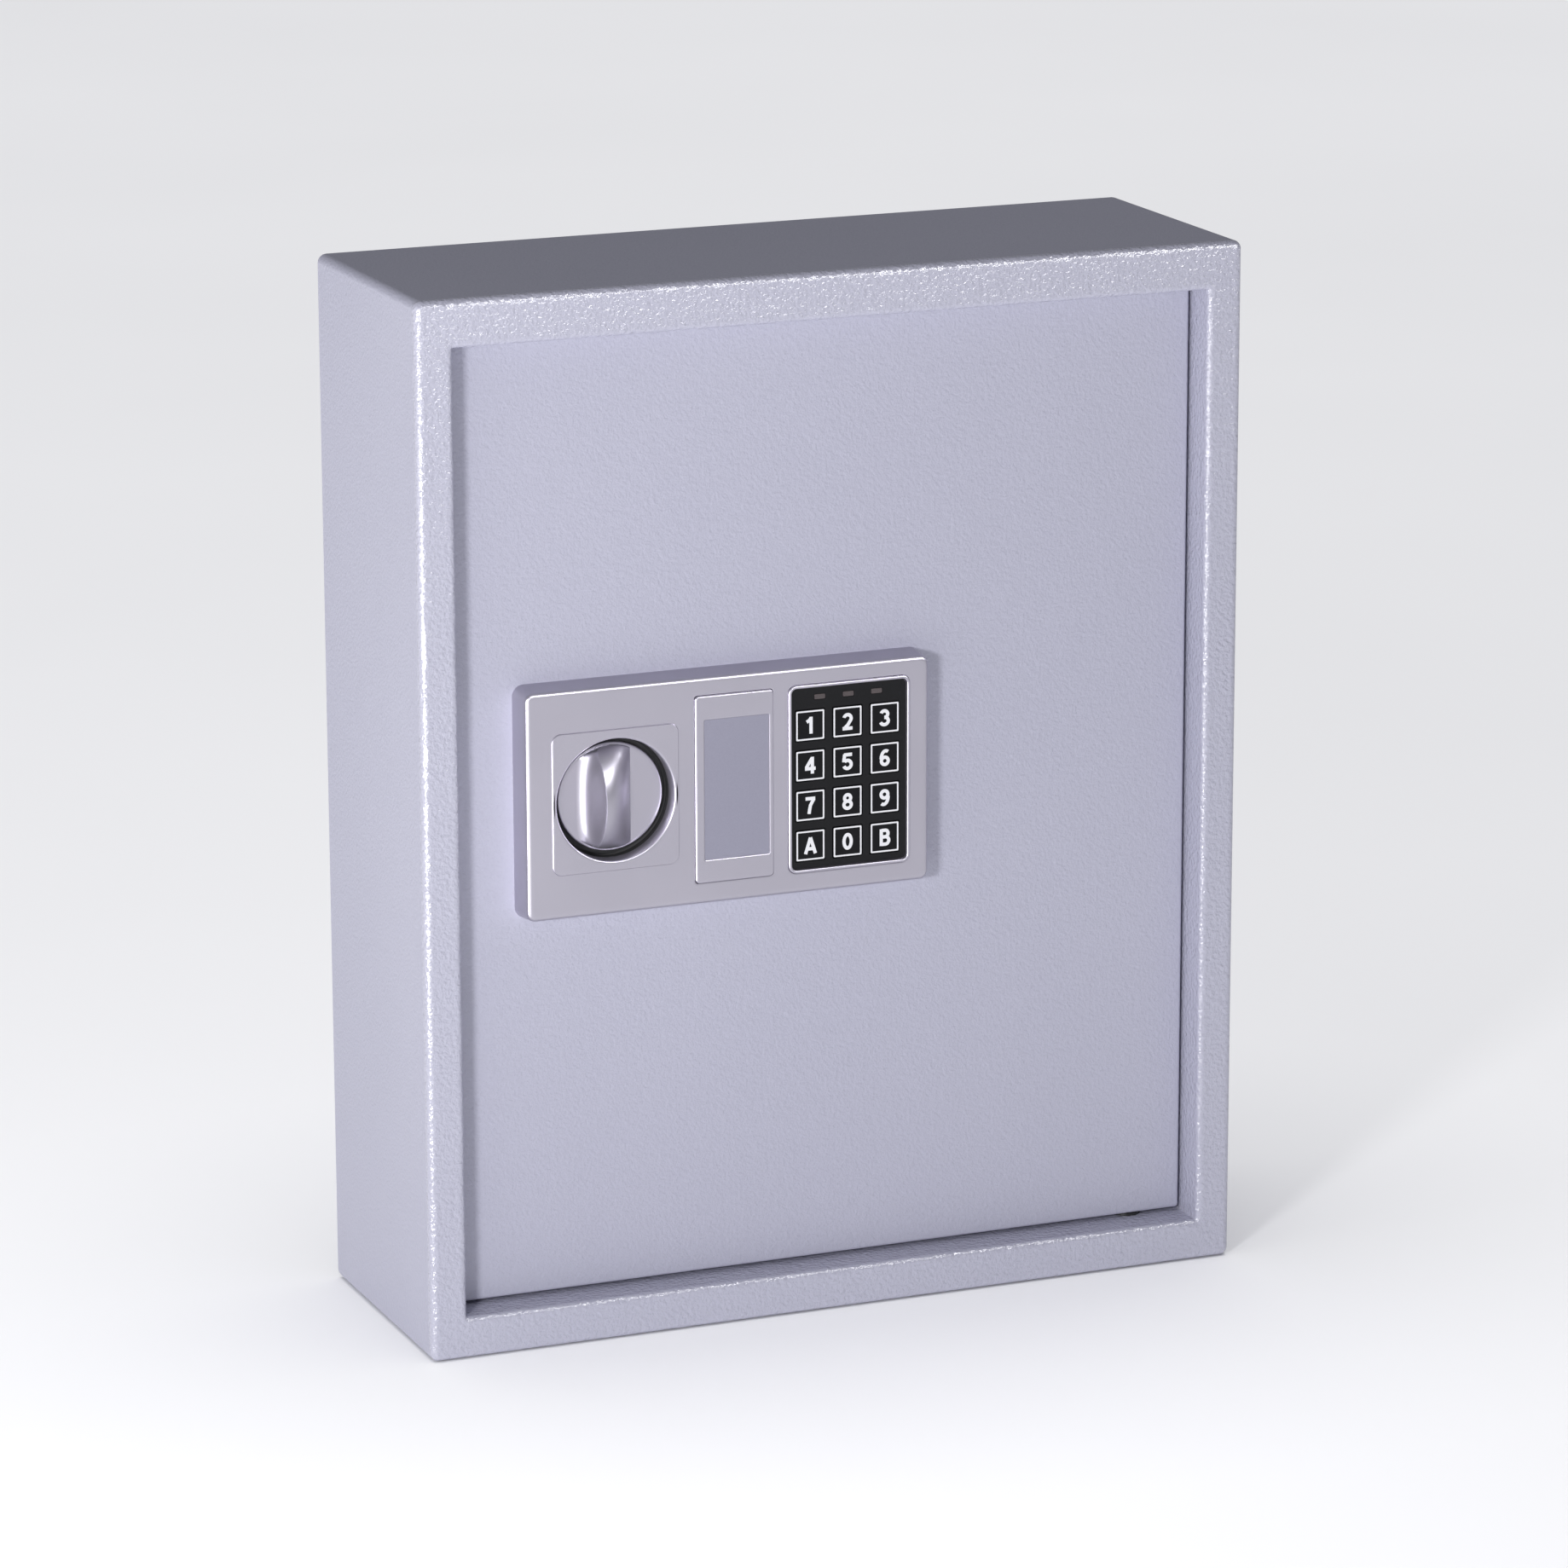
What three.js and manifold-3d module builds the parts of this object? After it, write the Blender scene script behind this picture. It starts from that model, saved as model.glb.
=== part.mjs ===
// Wall key safe with an electronic lock: a folded steel cabinet, a hinged pan door that carries a lock
// panel, and the bolt work behind the door. Millimetres, +Z up, -Y is the front.
// The origin is the centre of the cabinet's footprint, at its base.
import * as THREE from "three";
import { mergeVertices } from "three/addons/utils/BufferGeometryUtils.js";
import Module from "manifold-3d";

// Cabinet
const WIDTH = 300;
const HEIGHT = 365;
const FRONT = -50;
const BACK = 50;
const SHEET = 1.5;
const CORNER = 3; // outer corner radius, seen from the front
const FRAME_BACK = -46.5; // where the front frame meets the wrapped shell
const FRAME_BEND = 2.5; // outer bend of the frame's front edge
const OPENING = { half: 137.2, bottom: 14, top: 349.3, bend: 2 };
const LIP_BACK = -27; // the frame's return lips end here
const FIXING = { x: 115, low: 35, high: 335, radius: 4 };

// Door
const DOOR = { left: -135.7, right: 136.2, bottom: 15.8, top: 347.4, face: -37, rear: -27.3 };
const DOOR_PLATE = 2;
const HINGE = { x: 118, y: -31.8, pin: 2.8, bore: 3.1 };

// Lock panel on the door
const PANEL = { x: -39.3, z: 189.9, width: 148.6, height: 81, rear: -37, face: -47.5 };
const KNOB = { x: -80.8, z: 190.1, disc: 18.9, well: 21.2, floor: -39.5, disc_face: -42.5 };
const GRIP = { left: -7.4, crest: -5.8, right: 7.3, rise: 12.6, half: 18.4 };
const COVER = { x: -37.8, z: 190.4, width: 28.6, height: 65.4, face: -48.3, rear: -46.2 };
const LABEL = { x: -37.0, z: 190.2, width: 23.7, height: 49, depth: 0.5 };
const BEZEL = { x: 4.5, z: 190.4, width: 45, height: 66, face: -48.3, rear: -45.6, wall: 1.2 };
const FILM = { width: 42.2, height: 63.2, face: -46.9, rear: -45.9 };
const KEY = { x: 4.1, z: 187.8, size: 10.9, pitch_x: 13.76, pitch_z: 14.07, face: -47.05, rear: -45.5 };
const KEY_NAMES = ["1", "2", "3", "4", "5", "6", "7", "8", "9", "A", "0", "B"];
const LAMP = { z: 218.6, pitch: 10.5, width: 4, height: 1.8 };

// Bolt work behind the door plate
const CAM = { radius: 15, pin_radius: 2.4, throw: 10, start: 37.5, front: -33.2, rear: -31.2 };
const CARRIAGE = { left: -112, right: -62, bottom: 142, top: 238, front: -29.5, rear: -28 };
const BOLT = { radius: 5.5, y: -19.5, tip: -134.3, rise: 38 };
const BOLT_TRAVEL = 12.2;
const STUD = { x: -88, rise: 34, radius: 2.5 };
const PLUNGER = { x: -52, y: -28.75, radius: 3, tip: 172, foot: 147 };
const SOLENOID = { left: -62, right: -42, front: -35, rear: -21.5, bottom: 140, top: 165 };
const OVERRIDE = { x: -37.8, z: 190.1, barrel: 9.5, plug: 6, arm: 14 };
const LOCK_BOX = { left: -127.5, right: -22, bottom: 130, top: 250, front: -35, rear: -10, wall: 1.2 };
const RESET = { x: -45, z: 236, radius: 4 };
const BATTERY_BOX = { left: 8, right: 74, bottom: 160, top: 222, front: -35, rear: -15, wall: 1.5 };
const CELL = { radius: 7.2, length: 50.5, pitch: 15.4, y: -25.2 };
const LEAD = { x: -7, z: 168, radius: 1.6 };

// Key hooks on the back plate
const RAIL = { count: 6, first: 60, pitch: 50, half: 125, rise: 8, thickness: 1.5 };
const HOOK = { count: 8, pitch: 30, width: 4 };

const wasm = await Module();
wasm.setup();
const model = new THREE.Group();

function finish(color, roughness, metalness) {
  return new THREE.MeshStandardMaterial({ color, roughness, metalness });
}

const POWDER_COAT = finish(0xc6c6d6, 0.45, 0.2);
const SILVER_PLASTIC = finish(0xb2b1c0, 0.35, 0.3);
const BLACK_FILM = finish(0x1c1b20, 0.4, 0);
const BLACK_KEY = finish(0x101014, 0.45, 0);
const LAMP_GLASS = finish(0x3a1416, 0.2, 0);
const STEEL = finish(0x9a9c9f, 0.35, 0.9);
const BRASS = finish(0xb59a5b, 0.35, 0.9);
const BOARD = finish(0x23613b, 0.6, 0);
const BLACK_PLASTIC = finish(0x26262a, 0.6, 0);
const CELL_WRAP = finish(0x2f4f8a, 0.4, 0.1);
const WHITE_PLASTIC = finish(0xe2e2dd, 0.5, 0);
const RED_PLASTIC = finish(0xb02a26, 0.4, 0);

// A closed geometry as a solid that can be cut and joined.
function solid(geometry) {
  const bare = geometry.clone();
  bare.deleteAttribute("normal");
  bare.deleteAttribute("uv");
  const merged = mergeVertices(bare, 1e-4);
  const mesh = new wasm.Mesh({
    numProp: 3,
    vertProperties: merged.attributes.position.array,
    triVerts: Uint32Array.from(merged.index.array),
  });
  return new wasm.Manifold(mesh);
}

function join(...solids) {
  return solids.reduce((sum, next) => sum.add(next));
}

function cut(body, ...tools) {
  return tools.reduce((rest, tool) => rest.subtract(tool), body);
}

// Adds a finished solid to the model as one named mesh.
function add(name, body, material) {
  const { numProp, vertProperties, triVerts } = body.getMesh();
  const count = vertProperties.length / numProp;
  const position = new Float32Array(count * 3);
  for (let i = 0; i < count; i++) {
    position.set(vertProperties.subarray(i * numProp, i * numProp + 3), i * 3);
  }
  const geometry = new THREE.BufferGeometry();
  geometry.setAttribute("position", new THREE.BufferAttribute(position, 3));
  geometry.setIndex(new THREE.BufferAttribute(triVerts, 1));
  geometry.computeVertexNormals();
  const mesh = new THREE.Mesh(geometry, material);
  mesh.name = name;
  model.add(mesh);
}

// A box between two values on each axis.
function block(x0, x1, y0, y1, z0, z1) {
  const box = new THREE.BoxGeometry(x1 - x0, y1 - y0, z1 - z0);
  return solid(box.translate((x0 + x1) / 2, (y0 + y1) / 2, (z0 + z1) / 2));
}

function rodY(radius, y0, y1, x, z, sides = 32) {
  const rod = new THREE.CylinderGeometry(radius, radius, y1 - y0, sides);
  return solid(rod.translate(x, (y0 + y1) / 2, z));
}

function rodZ(radius, z0, z1, x, y, sides = 24) {
  const rod = new THREE.CylinderGeometry(radius, radius, z1 - z0, sides).rotateX(Math.PI / 2);
  return solid(rod.translate(x, y, (z0 + z1) / 2));
}

function rodX(radius, x0, x1, y, z, sides = 24) {
  const rod = new THREE.CylinderGeometry(radius, radius, x1 - x0, sides).rotateZ(Math.PI / 2);
  return solid(rod.translate((x0 + x1) / 2, y, z));
}

// A skin through rings of equal count, with a fan at each end. The rings advance towards the viewer
// and run counter-clockwise as that viewer sees them.
function loft(rings) {
  const count = rings[0].length;
  const last = (rings.length - 1) * count;
  const faces = [];
  for (let back = 0; back < last; back += count) {
    for (let i = 0; i < count; i++) {
      const next = (i + 1) % count;
      const front = back + count;
      faces.push(front + i, back + i, back + next);
      faces.push(front + i, back + next, front + next);
    }
  }
  for (let i = 1; i < count - 1; i++) {
    faces.push(last, last + i, last + i + 1);
    faces.push(0, i + 1, i);
  }
  const points = rings.flat().flatMap((point) => point.toArray());
  const geometry = new THREE.BufferGeometry();
  geometry.setAttribute("position", new THREE.Float32BufferAttribute(points, 3));
  geometry.setIndex(faces);
  return solid(geometry);
}

// A rounded rectangle in a plane of constant y, counter-clockwise seen from the front.
function roundedRing(width, height, radius, y, x, z, steps = 4) {
  const corners = [[1, -1, -90], [1, 1, 0], [-1, 1, 90], [-1, -1, 180]];
  const points = [];
  for (const [side, level, start] of corners) {
    for (let i = 0; i <= steps; i++) {
      const angle = THREE.MathUtils.degToRad(start + (90 * i) / steps);
      const px = x + side * (width / 2 - radius) + radius * Math.cos(angle);
      const pz = z + level * (height / 2 - radius) + radius * Math.sin(angle);
      points.push(new THREE.Vector3(px, y, pz));
    }
  }
  return points;
}

// A straight prism on a rounded rectangle, from rear to front.
function roundedBlock(width, height, radius, rear, front, x, z) {
  const rings = [rear, front].map((y) => roundedRing(width, height, radius, y, x, z));
  return loft(rings);
}

// A prism on a rounded rectangle whose front edge is rounded over: inset grows as a quarter circle.
function softBlock(width, height, radius, rear, front, edge, x, z, steps = 3) {
  const rings = [roundedRing(width, height, radius, rear, x, z)];
  for (let i = 0; i <= steps; i++) {
    const angle = (Math.PI / 2) * (i / steps);
    const inset = edge * (1 - Math.cos(angle));
    const y = front + edge * (1 - Math.sin(angle));
    const corner = Math.max(radius - inset, 0.4);
    rings.push(roundedRing(width - 2 * inset, height - 2 * inset, corner, y, x, z));
  }
  return loft(rings);
}

// Sides, top and bottom as one wrap of sheet, open at the front and at the back.
function wrappedShell() {
  const middle = HEIGHT / 2;
  const rear = BACK - SHEET;
  const outside = roundedBlock(WIDTH, HEIGHT, CORNER, rear, FRAME_BACK, 0, middle);
  const inside = roundedBlock(
    WIDTH - 2 * SHEET, HEIGHT - 2 * SHEET, CORNER - SHEET, rear + 1, FRAME_BACK - 1, 0, middle);
  return cut(outside, inside);
}

// The whole front frame before it is parted: a face with a rounded outer edge, an opening with a
// rounded inner edge, and return lips that run back round the opening.
function frontFrame() {
  const middle = HEIGHT / 2;
  const z = (OPENING.bottom + OPENING.top) / 2;
  const width = 2 * OPENING.half;
  const height = OPENING.top - OPENING.bottom;
  const face = softBlock(WIDTH, HEIGHT, CORNER, FRAME_BACK, FRONT, FRAME_BEND, 0, middle);
  const hollow = roundedBlock(
    WIDTH - 2 * SHEET, HEIGHT - 2 * SHEET, CORNER - SHEET, FRAME_BACK + 1, FRONT + SHEET, 0, middle);
  const lips = roundedBlock(
    width + 2 * SHEET, height + 2 * SHEET, 0.9, LIP_BACK, FRONT + SHEET / 2, 0, z);
  const rings = [roundedRing(width, height, 0.6, LIP_BACK + 1, 0, z)];
  for (const angle of [0, Math.PI / 6, Math.PI / 3, Math.PI / 2]) {
    const flare = OPENING.bend * (1 - Math.cos(angle));
    const y = FRONT + OPENING.bend * (1 - Math.sin(angle));
    rings.push(roundedRing(width + 2 * flare, height + 2 * flare, 0.6 + flare, y, 0, z));
  }
  const widest = 2 * OPENING.bend;
  rings.push(roundedRing(width + widest, height + widest, 0.6 + OPENING.bend, FRONT - 1, 0, z));
  const pins = rodZ(HINGE.bore, 5, HEIGHT - 5, HINGE.x, HINGE.y);
  return cut(join(cut(face, hollow), lips), loft(rings), pins);
}

// Stiles run the full height and the rails are butted between them.
function addFrame() {
  const frame = frontFrame();
  const edge = OPENING.half;
  const front = FRONT - 1;
  const rear = LIP_BACK + 1;
  const middle = HEIGHT / 2;
  const out = WIDTH / 2 + 1;
  const parts = {
    left_stile: block(-out, -edge, front, rear, -1, HEIGHT + 1),
    right_stile: block(edge, out, front, rear, -1, HEIGHT + 1),
    top_rail: block(-edge, edge, front, rear, middle, HEIGHT + 1),
    bottom_rail: block(-edge, edge, front, rear, -1, middle),
  };
  for (const [name, space] of Object.entries(parts)) {
    add(name, frame.intersect(space), POWDER_COAT);
  }
}

// Plate across the back with four wall-fixing holes.
function backPlate() {
  let plate = roundedBlock(WIDTH, HEIGHT, CORNER, BACK, BACK - SHEET, 0, HEIGHT / 2);
  for (const x of [-FIXING.x, FIXING.x]) {
    for (const z of [FIXING.low, FIXING.high]) {
      plate = cut(plate, rodY(FIXING.radius, BACK - 3, BACK + 1, x, z, 20));
    }
  }
  return plate;
}

// A headed hinge pin: the head sits behind the frame's lip, the shank passes into the door's flange.
function hingePin(head0, head1, shank0, shank1) {
  const head = rodZ(4.4, head0, head1, HINGE.x, HINGE.y);
  return join(head, rodZ(HINGE.pin, shank0, shank1, HINGE.x, HINGE.y));
}

function hingeWasher() {
  const z0 = OPENING.bottom + 0.05;
  const ring = rodZ(4.8, z0, z0 + 1.45, HINGE.x, HINGE.y);
  return cut(ring, rodZ(HINGE.bore, z0 - 1, z0 + 3, HINGE.x, HINGE.y));
}

// A tab that hangs from the top rail's lip and stops the door's flange.
function doorStop() {
  return block(-110, -80, LIP_BACK, LIP_BACK + SHEET, OPENING.top - 11, OPENING.top + SHEET);
}

// One rail of bent hooks: a strip against the back plate, and tabs that turn up at their ends.
function hookRail(z) {
  const rear = BACK - SHEET;
  const front = rear - RAIL.thickness;
  let rail = block(-RAIL.half, RAIL.half, front, rear, z - RAIL.rise, z + RAIL.rise);
  const side = new THREE.Shape();
  side.moveTo(front + 0.2, z - 0.5);
  side.lineTo(front + 0.2, z + 1);
  side.lineTo(36, z + 1);
  side.lineTo(34.6, z + 2.3);
  side.lineTo(34.2, z + 6);
  side.lineTo(32.8, z + 6);
  side.lineTo(32.9, z + 1.6);
  side.lineTo(34.6, z - 0.5);
  const [X, Y, Z] = [0, 1, 2].map((axis) => new THREE.Vector3().setComponent(axis, 1));
  for (let i = 0; i < HOOK.count; i++) {
    const x = (i - (HOOK.count - 1) / 2) * HOOK.pitch - HOOK.width / 2;
    const tab = new THREE.ExtrudeGeometry(side, { depth: HOOK.width, bevelEnabled: false });
    tab.applyMatrix4(new THREE.Matrix4().makeBasis(Y, Z, X)).translate(x, 0, 0);
    rail = join(rail, solid(tab));
  }
  return rail;
}

// A pan door: a plate with four flanges turned back, bored for the hinge pins, the knob's shaft, the
// override lock and the keypad's lead.
function doorPan() {
  const width = DOOR.right - DOOR.left;
  const height = DOOR.top - DOOR.bottom;
  const x = (DOOR.left + DOOR.right) / 2;
  const z = (DOOR.bottom + DOOR.top) / 2;
  const outside = softBlock(width, height, 1.2, DOOR.rear, DOOR.face, 1, x, z, 2);
  const inside = roundedBlock(
    width - 2 * SHEET, height - 2 * SHEET, 0.5, DOOR.rear + 1, DOOR.face + DOOR_PLATE, x, z);
  return cut(
    outside,
    inside,
    rodZ(HINGE.bore, DOOR.bottom - 1, DOOR.top + 1, HINGE.x, HINGE.y),
    rodY(7, DOOR.face - 1, DOOR.face + 3, KNOB.x, KNOB.z),
    rodY(OVERRIDE.barrel + 0.3, DOOR.face - 1, DOOR.face + 3, OVERRIDE.x, OVERRIDE.z),
    rodY(5, DOOR.face - 1, DOOR.face + 3, LEAD.x, LEAD.z, 20),
  );
}

// The moulded housing: drafted sides, a round well for the knob, a pocket for the middle cover with
// the override lock's hole in its floor, and a stepped window for the keypad.
function panelBody() {
  const { x, z, width, height, rear, face } = PANEL;
  const rings = [[0, rear, 4], [0.7, face + 3, 3.6], [1.0, face + 1.1, 3.3], [1.5, face + 0.3, 2.8],
    [2.2, face, 2.2]];
  const housing = loft(rings.map(([inset, y, radius]) =>
    roundedRing(width - 2 * inset, height - 2.8 * inset, radius, y, x, z)));
  const plate = roundedBlock(45.1, 48.6, 3, face + 0.2, face - 0.5, KNOB.x, KNOB.z);
  const open = face - 2;
  return cut(
    join(housing, plate),
    rodY(KNOB.well, open, KNOB.floor, KNOB.x, KNOB.z, 48),
    rodY(6, KNOB.floor - 1, rear + 1, KNOB.x, KNOB.z),
    roundedBlock(COVER.width + 0.4, COVER.height + 0.4, 1.4, COVER.rear + 0.2, open, COVER.x, COVER.z),
    roundedBlock(30, 68, 1, rear + 1, COVER.rear + 1.7, COVER.x, COVER.z),
    rodY(OVERRIDE.barrel + 0.3, open, rear, OVERRIDE.x, OVERRIDE.z),
    roundedBlock(BEZEL.width + 0.4, BEZEL.height + 0.4, 3.2, BEZEL.rear + 0.2, open, BEZEL.x, BEZEL.z),
    roundedBlock(41, 62, 1, rear, open, BEZEL.x - 0.2, BEZEL.z),
    roundedBlock(50, 72, 1, rear + 1, face + 2.8, BEZEL.x, BEZEL.z),
  );
}

// Knob disc with a chamfered rim, a fin grip across it and a shaft behind. The fin's left wall is
// steep, its crest is a circular arc, and its front falls away to the right in a convex curve.
function knob() {
  const face = KNOB.disc_face;
  const rims = [[KNOB.disc - 0.6, -40.2], [KNOB.disc, -41], [KNOB.disc, face + 0.5],
    [KNOB.disc - 0.5, face]];
  const disc = loft(rims.map(([radius, y]) => circle(radius, y, KNOB.x, KNOB.z, 40)));
  const arc = (GRIP.half ** 2 + GRIP.rise ** 2) / (2 * GRIP.rise);
  const sections = [];
  const steps = 12;
  for (let k = 0; k <= steps; k++) {
    const z = GRIP.half * (0.985 * ((2 * k) / steps - 1));
    const rise = Math.sqrt(arc ** 2 - z ** 2) - (arc - GRIP.rise);
    sections.push(gripSection(rise, z, face));
  }
  const shaft = rodY(5, -40.5, CAM.front, KNOB.x, KNOB.z, 24);
  return join(disc, loft(sections), shaft);
}

function circle(radius, y, x, z, count) {
  return Array.from({ length: count }, (_, i) => {
    const angle = (2 * Math.PI * i) / count;
    return new THREE.Vector3(x + radius * Math.cos(angle), y, z + radius * Math.sin(angle));
  });
}

// The fin cut at one height: up the steep wall to the crest, then down the convex front.
function gripSection(rise, z, face) {
  const outline = [[GRIP.left, -1], [GRIP.left, 0]];
  const points = 6;
  for (let i = 0; i <= points; i++) {
    const along = i / points;
    const x = GRIP.crest + along * (GRIP.right - GRIP.crest);
    outline.push([x, rise * (1 - along ** 1.7)]);
  }
  outline.push([GRIP.right, -1]);
  return outline.map(([x, height]) => new THREE.Vector3(KNOB.x + x, face - height, KNOB.z + z));
}

// The cam disc on the knob's shaft, with the pin that drives the carriage.
function knobCam() {
  const start = THREE.MathUtils.degToRad(CAM.start);
  const x = KNOB.x + CAM.throw * Math.sin(start);
  const z = KNOB.z + CAM.throw * Math.cos(start);
  const disc = rodY(CAM.radius, CAM.front, CAM.rear, KNOB.x, KNOB.z);
  return join(disc, rodY(CAM.pin_radius, CAM.rear - 1, CARRIAGE.rear + 1, x, z, 24));
}

// Guide plate on the door's back, with two headed studs that the carriage slides on.
function lockBase() {
  const plate = block(-122, -63, LOCK_BOX.front, LOCK_BOX.front + SHEET, 138, 242);
  const studs = [-STUD.rise, STUD.rise].flatMap((rise) => [
    rodY(STUD.radius, LOCK_BOX.front + 1, CARRIAGE.rear + 1.3, STUD.x, KNOB.z + rise, 20),
    rodY(4, CARRIAGE.rear + 0.4, CARRIAGE.rear + 1.6, STUD.x, KNOB.z + rise, 20),
  ]);
  return cut(join(plate, ...studs), rodY(7, -36, -32, KNOB.x, KNOB.z));
}

// The sliding plate: two guide slots, the cam pin's upright slot, a flange that carries the bolts, and
// a toe whose two notches take the plunger at each end of the travel.
function boltCarriage() {
  const { left, right, bottom, top, front, rear } = CARRIAGE;
  const plate = block(left, right, front, rear, bottom, top);
  const flange = block(left, left + SHEET, rear - 0.1, -14, bottom, top);
  const toe = block(right - 0.5, -34, front, rear, 173, 180);
  const slots = [-STUD.rise, STUD.rise].map((rise) => {
    const gap = STUD.radius + 0.4;
    const z = KNOB.z + rise;
    return block(STUD.x - gap, STUD.x + gap + BOLT_TRAVEL, front - 1, rear + 1, z - gap, z + gap);
  });
  const pin = KNOB.x + CAM.throw * Math.sin(THREE.MathUtils.degToRad(CAM.start));
  const gap = CAM.pin_radius + 0.35;
  slots.push(block(pin - gap, pin + gap, front - 1, rear + 1, KNOB.z + 5, KNOB.z + 13));
  const notch = PLUNGER.radius + 0.6;
  for (const x of [PLUNGER.x, PLUNGER.x + BOLT_TRAVEL]) {
    slots.push(block(x - notch, x + notch, front - 1, rear + 1, 172, 177));
  }
  return cut(join(plate, flange, toe), ...slots);
}

// A round bolt with a turned-down nose.
function bolt(z) {
  const body = rodX(BOLT.radius, BOLT.tip + 1, CARRIAGE.left, BOLT.y, z);
  return join(body, rodX(BOLT.radius - 0.8, BOLT.tip, BOLT.tip + 1.5, BOLT.y, z));
}

// Solenoid frame and coil as one block, bored from above for its plunger.
function solenoidBody() {
  const { left, right, front, rear, bottom, top } = SOLENOID;
  const body = block(left, right, front, rear, bottom, top);
  return cut(body, rodZ(PLUNGER.radius + 0.3, PLUNGER.foot - 1, top + 1, PLUNGER.x, PLUNGER.y));
}

function overrideBarrel() {
  const front = COVER.rear + 0.3;
  const barrel = rodY(OVERRIDE.barrel, front, -31, OVERRIDE.x, OVERRIDE.z);
  return cut(barrel, rodY(OVERRIDE.plug + 0.3, front - 1, -30, OVERRIDE.x, OVERRIDE.z));
}

// The turning plug with its keyway, and the cam arm on its rear end.
function overridePlug() {
  const front = COVER.rear + 0.3;
  const { x, z } = OVERRIDE;
  const plug = rodY(OVERRIDE.plug, front, -25, x, z);
  const arm = block(x - 3, x + 3, -26.5, -25, z, z + OVERRIDE.arm);
  return cut(join(plug, arm), block(x - 0.8, x + 0.8, front - 1, front + 2.5, z - 3.8, z + 3.8));
}

// The middle cover that hides the override lock, with a sunk label field.
function middleCover() {
  const cover = softBlock(
    COVER.width, COVER.height, 1.5, COVER.rear, COVER.face, 0.7, COVER.x, COVER.z, 2);
  const field = roundedBlock(
    LABEL.width, LABEL.height, 0.5, COVER.face + LABEL.depth, COVER.face - 1, LABEL.x, LABEL.z);
  return cut(cover, field);
}

function keypadBezel() {
  const { x, z, width, height, face, rear, wall } = BEZEL;
  const outside = softBlock(width, height, 3, rear, face, 0.6, x, z, 2);
  const inside = roundedBlock(width - 2 * wall, height - 2 * wall, 1.9, rear + 1, face - 1, x, z);
  return cut(outside, inside);
}

function keyPlace(index) {
  const x = KEY.x + ((index % 3) - 1) * KEY.pitch_x;
  const z = KEY.z + (1.5 - Math.floor(index / 3)) * KEY.pitch_z;
  return [x, z];
}

function lampPlace(index) {
  return [BEZEL.x + (index - 1) * LAMP.pitch, LAMP.z];
}

// The black face film with an opening for each key and each indicator lamp.
function keypadFilm() {
  const { x, z } = BEZEL;
  let film = roundedBlock(FILM.width, FILM.height, 1.7, FILM.rear, FILM.face, x, z);
  const hole = KEY.size + 0.4;
  for (let i = 0; i < KEY_NAMES.length; i++) {
    const [kx, kz] = keyPlace(i);
    film = cut(film, roundedBlock(hole, hole, 0.7, FILM.rear + 1, FILM.face - 1, kx, kz));
  }
  for (let i = 0; i < 3; i++) {
    const [lx, lz] = lampPlace(i);
    const width = LAMP.width + 0.2;
    film = cut(film, roundedBlock(width, LAMP.height + 0.2, 0.5, FILM.rear + 1, FILM.face - 1, lx, lz));
  }
  return film;
}

function addKeys() {
  KEY_NAMES.forEach((name, i) => {
    const [x, z] = keyPlace(i);
    add("key_" + name, softBlock(KEY.size, KEY.size, 0.6, KEY.rear, KEY.face, 0.2, x, z, 1), BLACK_KEY);
  });
}

function addLamps() {
  ["red", "amber", "green"].forEach((name, i) => {
    const [x, z] = lampPlace(i);
    const lamp = roundedBlock(LAMP.width, LAMP.height, 0.4, FILM.rear, FILM.face + 0.05, x, z);
    add("lamp_" + name, lamp, LAMP_GLASS);
  });
}

// The keypad's lead: from the circuit board through the door plate and into the lock cover.
function keypadLead() {
  const route = new THREE.CatmullRomCurve3([
    new THREE.Vector3(LEAD.x, -42.6, LEAD.z),
    new THREE.Vector3(LEAD.x, -36.5, LEAD.z),
    new THREE.Vector3(LEAD.x - 3, -31, LEAD.z),
    new THREE.Vector3(LEAD.x - 13, -30, LEAD.z),
    new THREE.Vector3(LEAD.x - 26, -30, LEAD.z - 3),
    new THREE.Vector3(SOLENOID.right + 2.5, -29, LEAD.z - 10),
  ]);
  const section = new THREE.Shape();
  section.absarc(0, 0, LEAD.radius, 0, 2 * Math.PI);
  const settings = { steps: 24, curveSegments: 4, extrudePath: route };
  return solid(new THREE.ExtrudeGeometry(section, settings));
}

const EARS = [[-108, 254], [-45, 254], [-108, 126], [-45, 126]];

// Sheet cover over the bolt work: a tray open towards the door plate, with four fixing ears.
function lockCover() {
  const { left, right, bottom, top, front, rear, wall } = LOCK_BOX;
  const outside = block(left, right, front, rear, bottom, top);
  const inside = block(left + wall, right - wall, front - 1, rear - wall, bottom + wall, top - wall);
  const ears = EARS.map(([x, z]) => {
    const inner = z > KNOB.z ? top - 1 : bottom + 1;
    return block(x - 6, x + 6, front, front + wall, Math.min(inner, z + 5), Math.max(inner, z - 5));
  });
  const earEnds = EARS.map(([x, z]) => rodY(6, front, front + wall, x, z, 20));
  const holes = [-BOLT.rise, BOLT.rise].map((rise) =>
    rodX(BOLT.radius + 0.4, left - 1, left + 3, BOLT.y, KNOB.z + rise));
  holes.push(rodX(3, right - 3, right + 1, -30, LEAD.z - 0.7, 16));
  holes.push(rodY(RESET.radius + 0.3, rear - 3, rear + 1, RESET.x, RESET.z, 20));
  holes.push(...EARS.map(([x, z]) => rodY(1.8, front - 1, front + 3, x, z, 12)));
  return cut(join(cut(outside, inside), ...ears, ...earEnds), ...holes);
}

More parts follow.
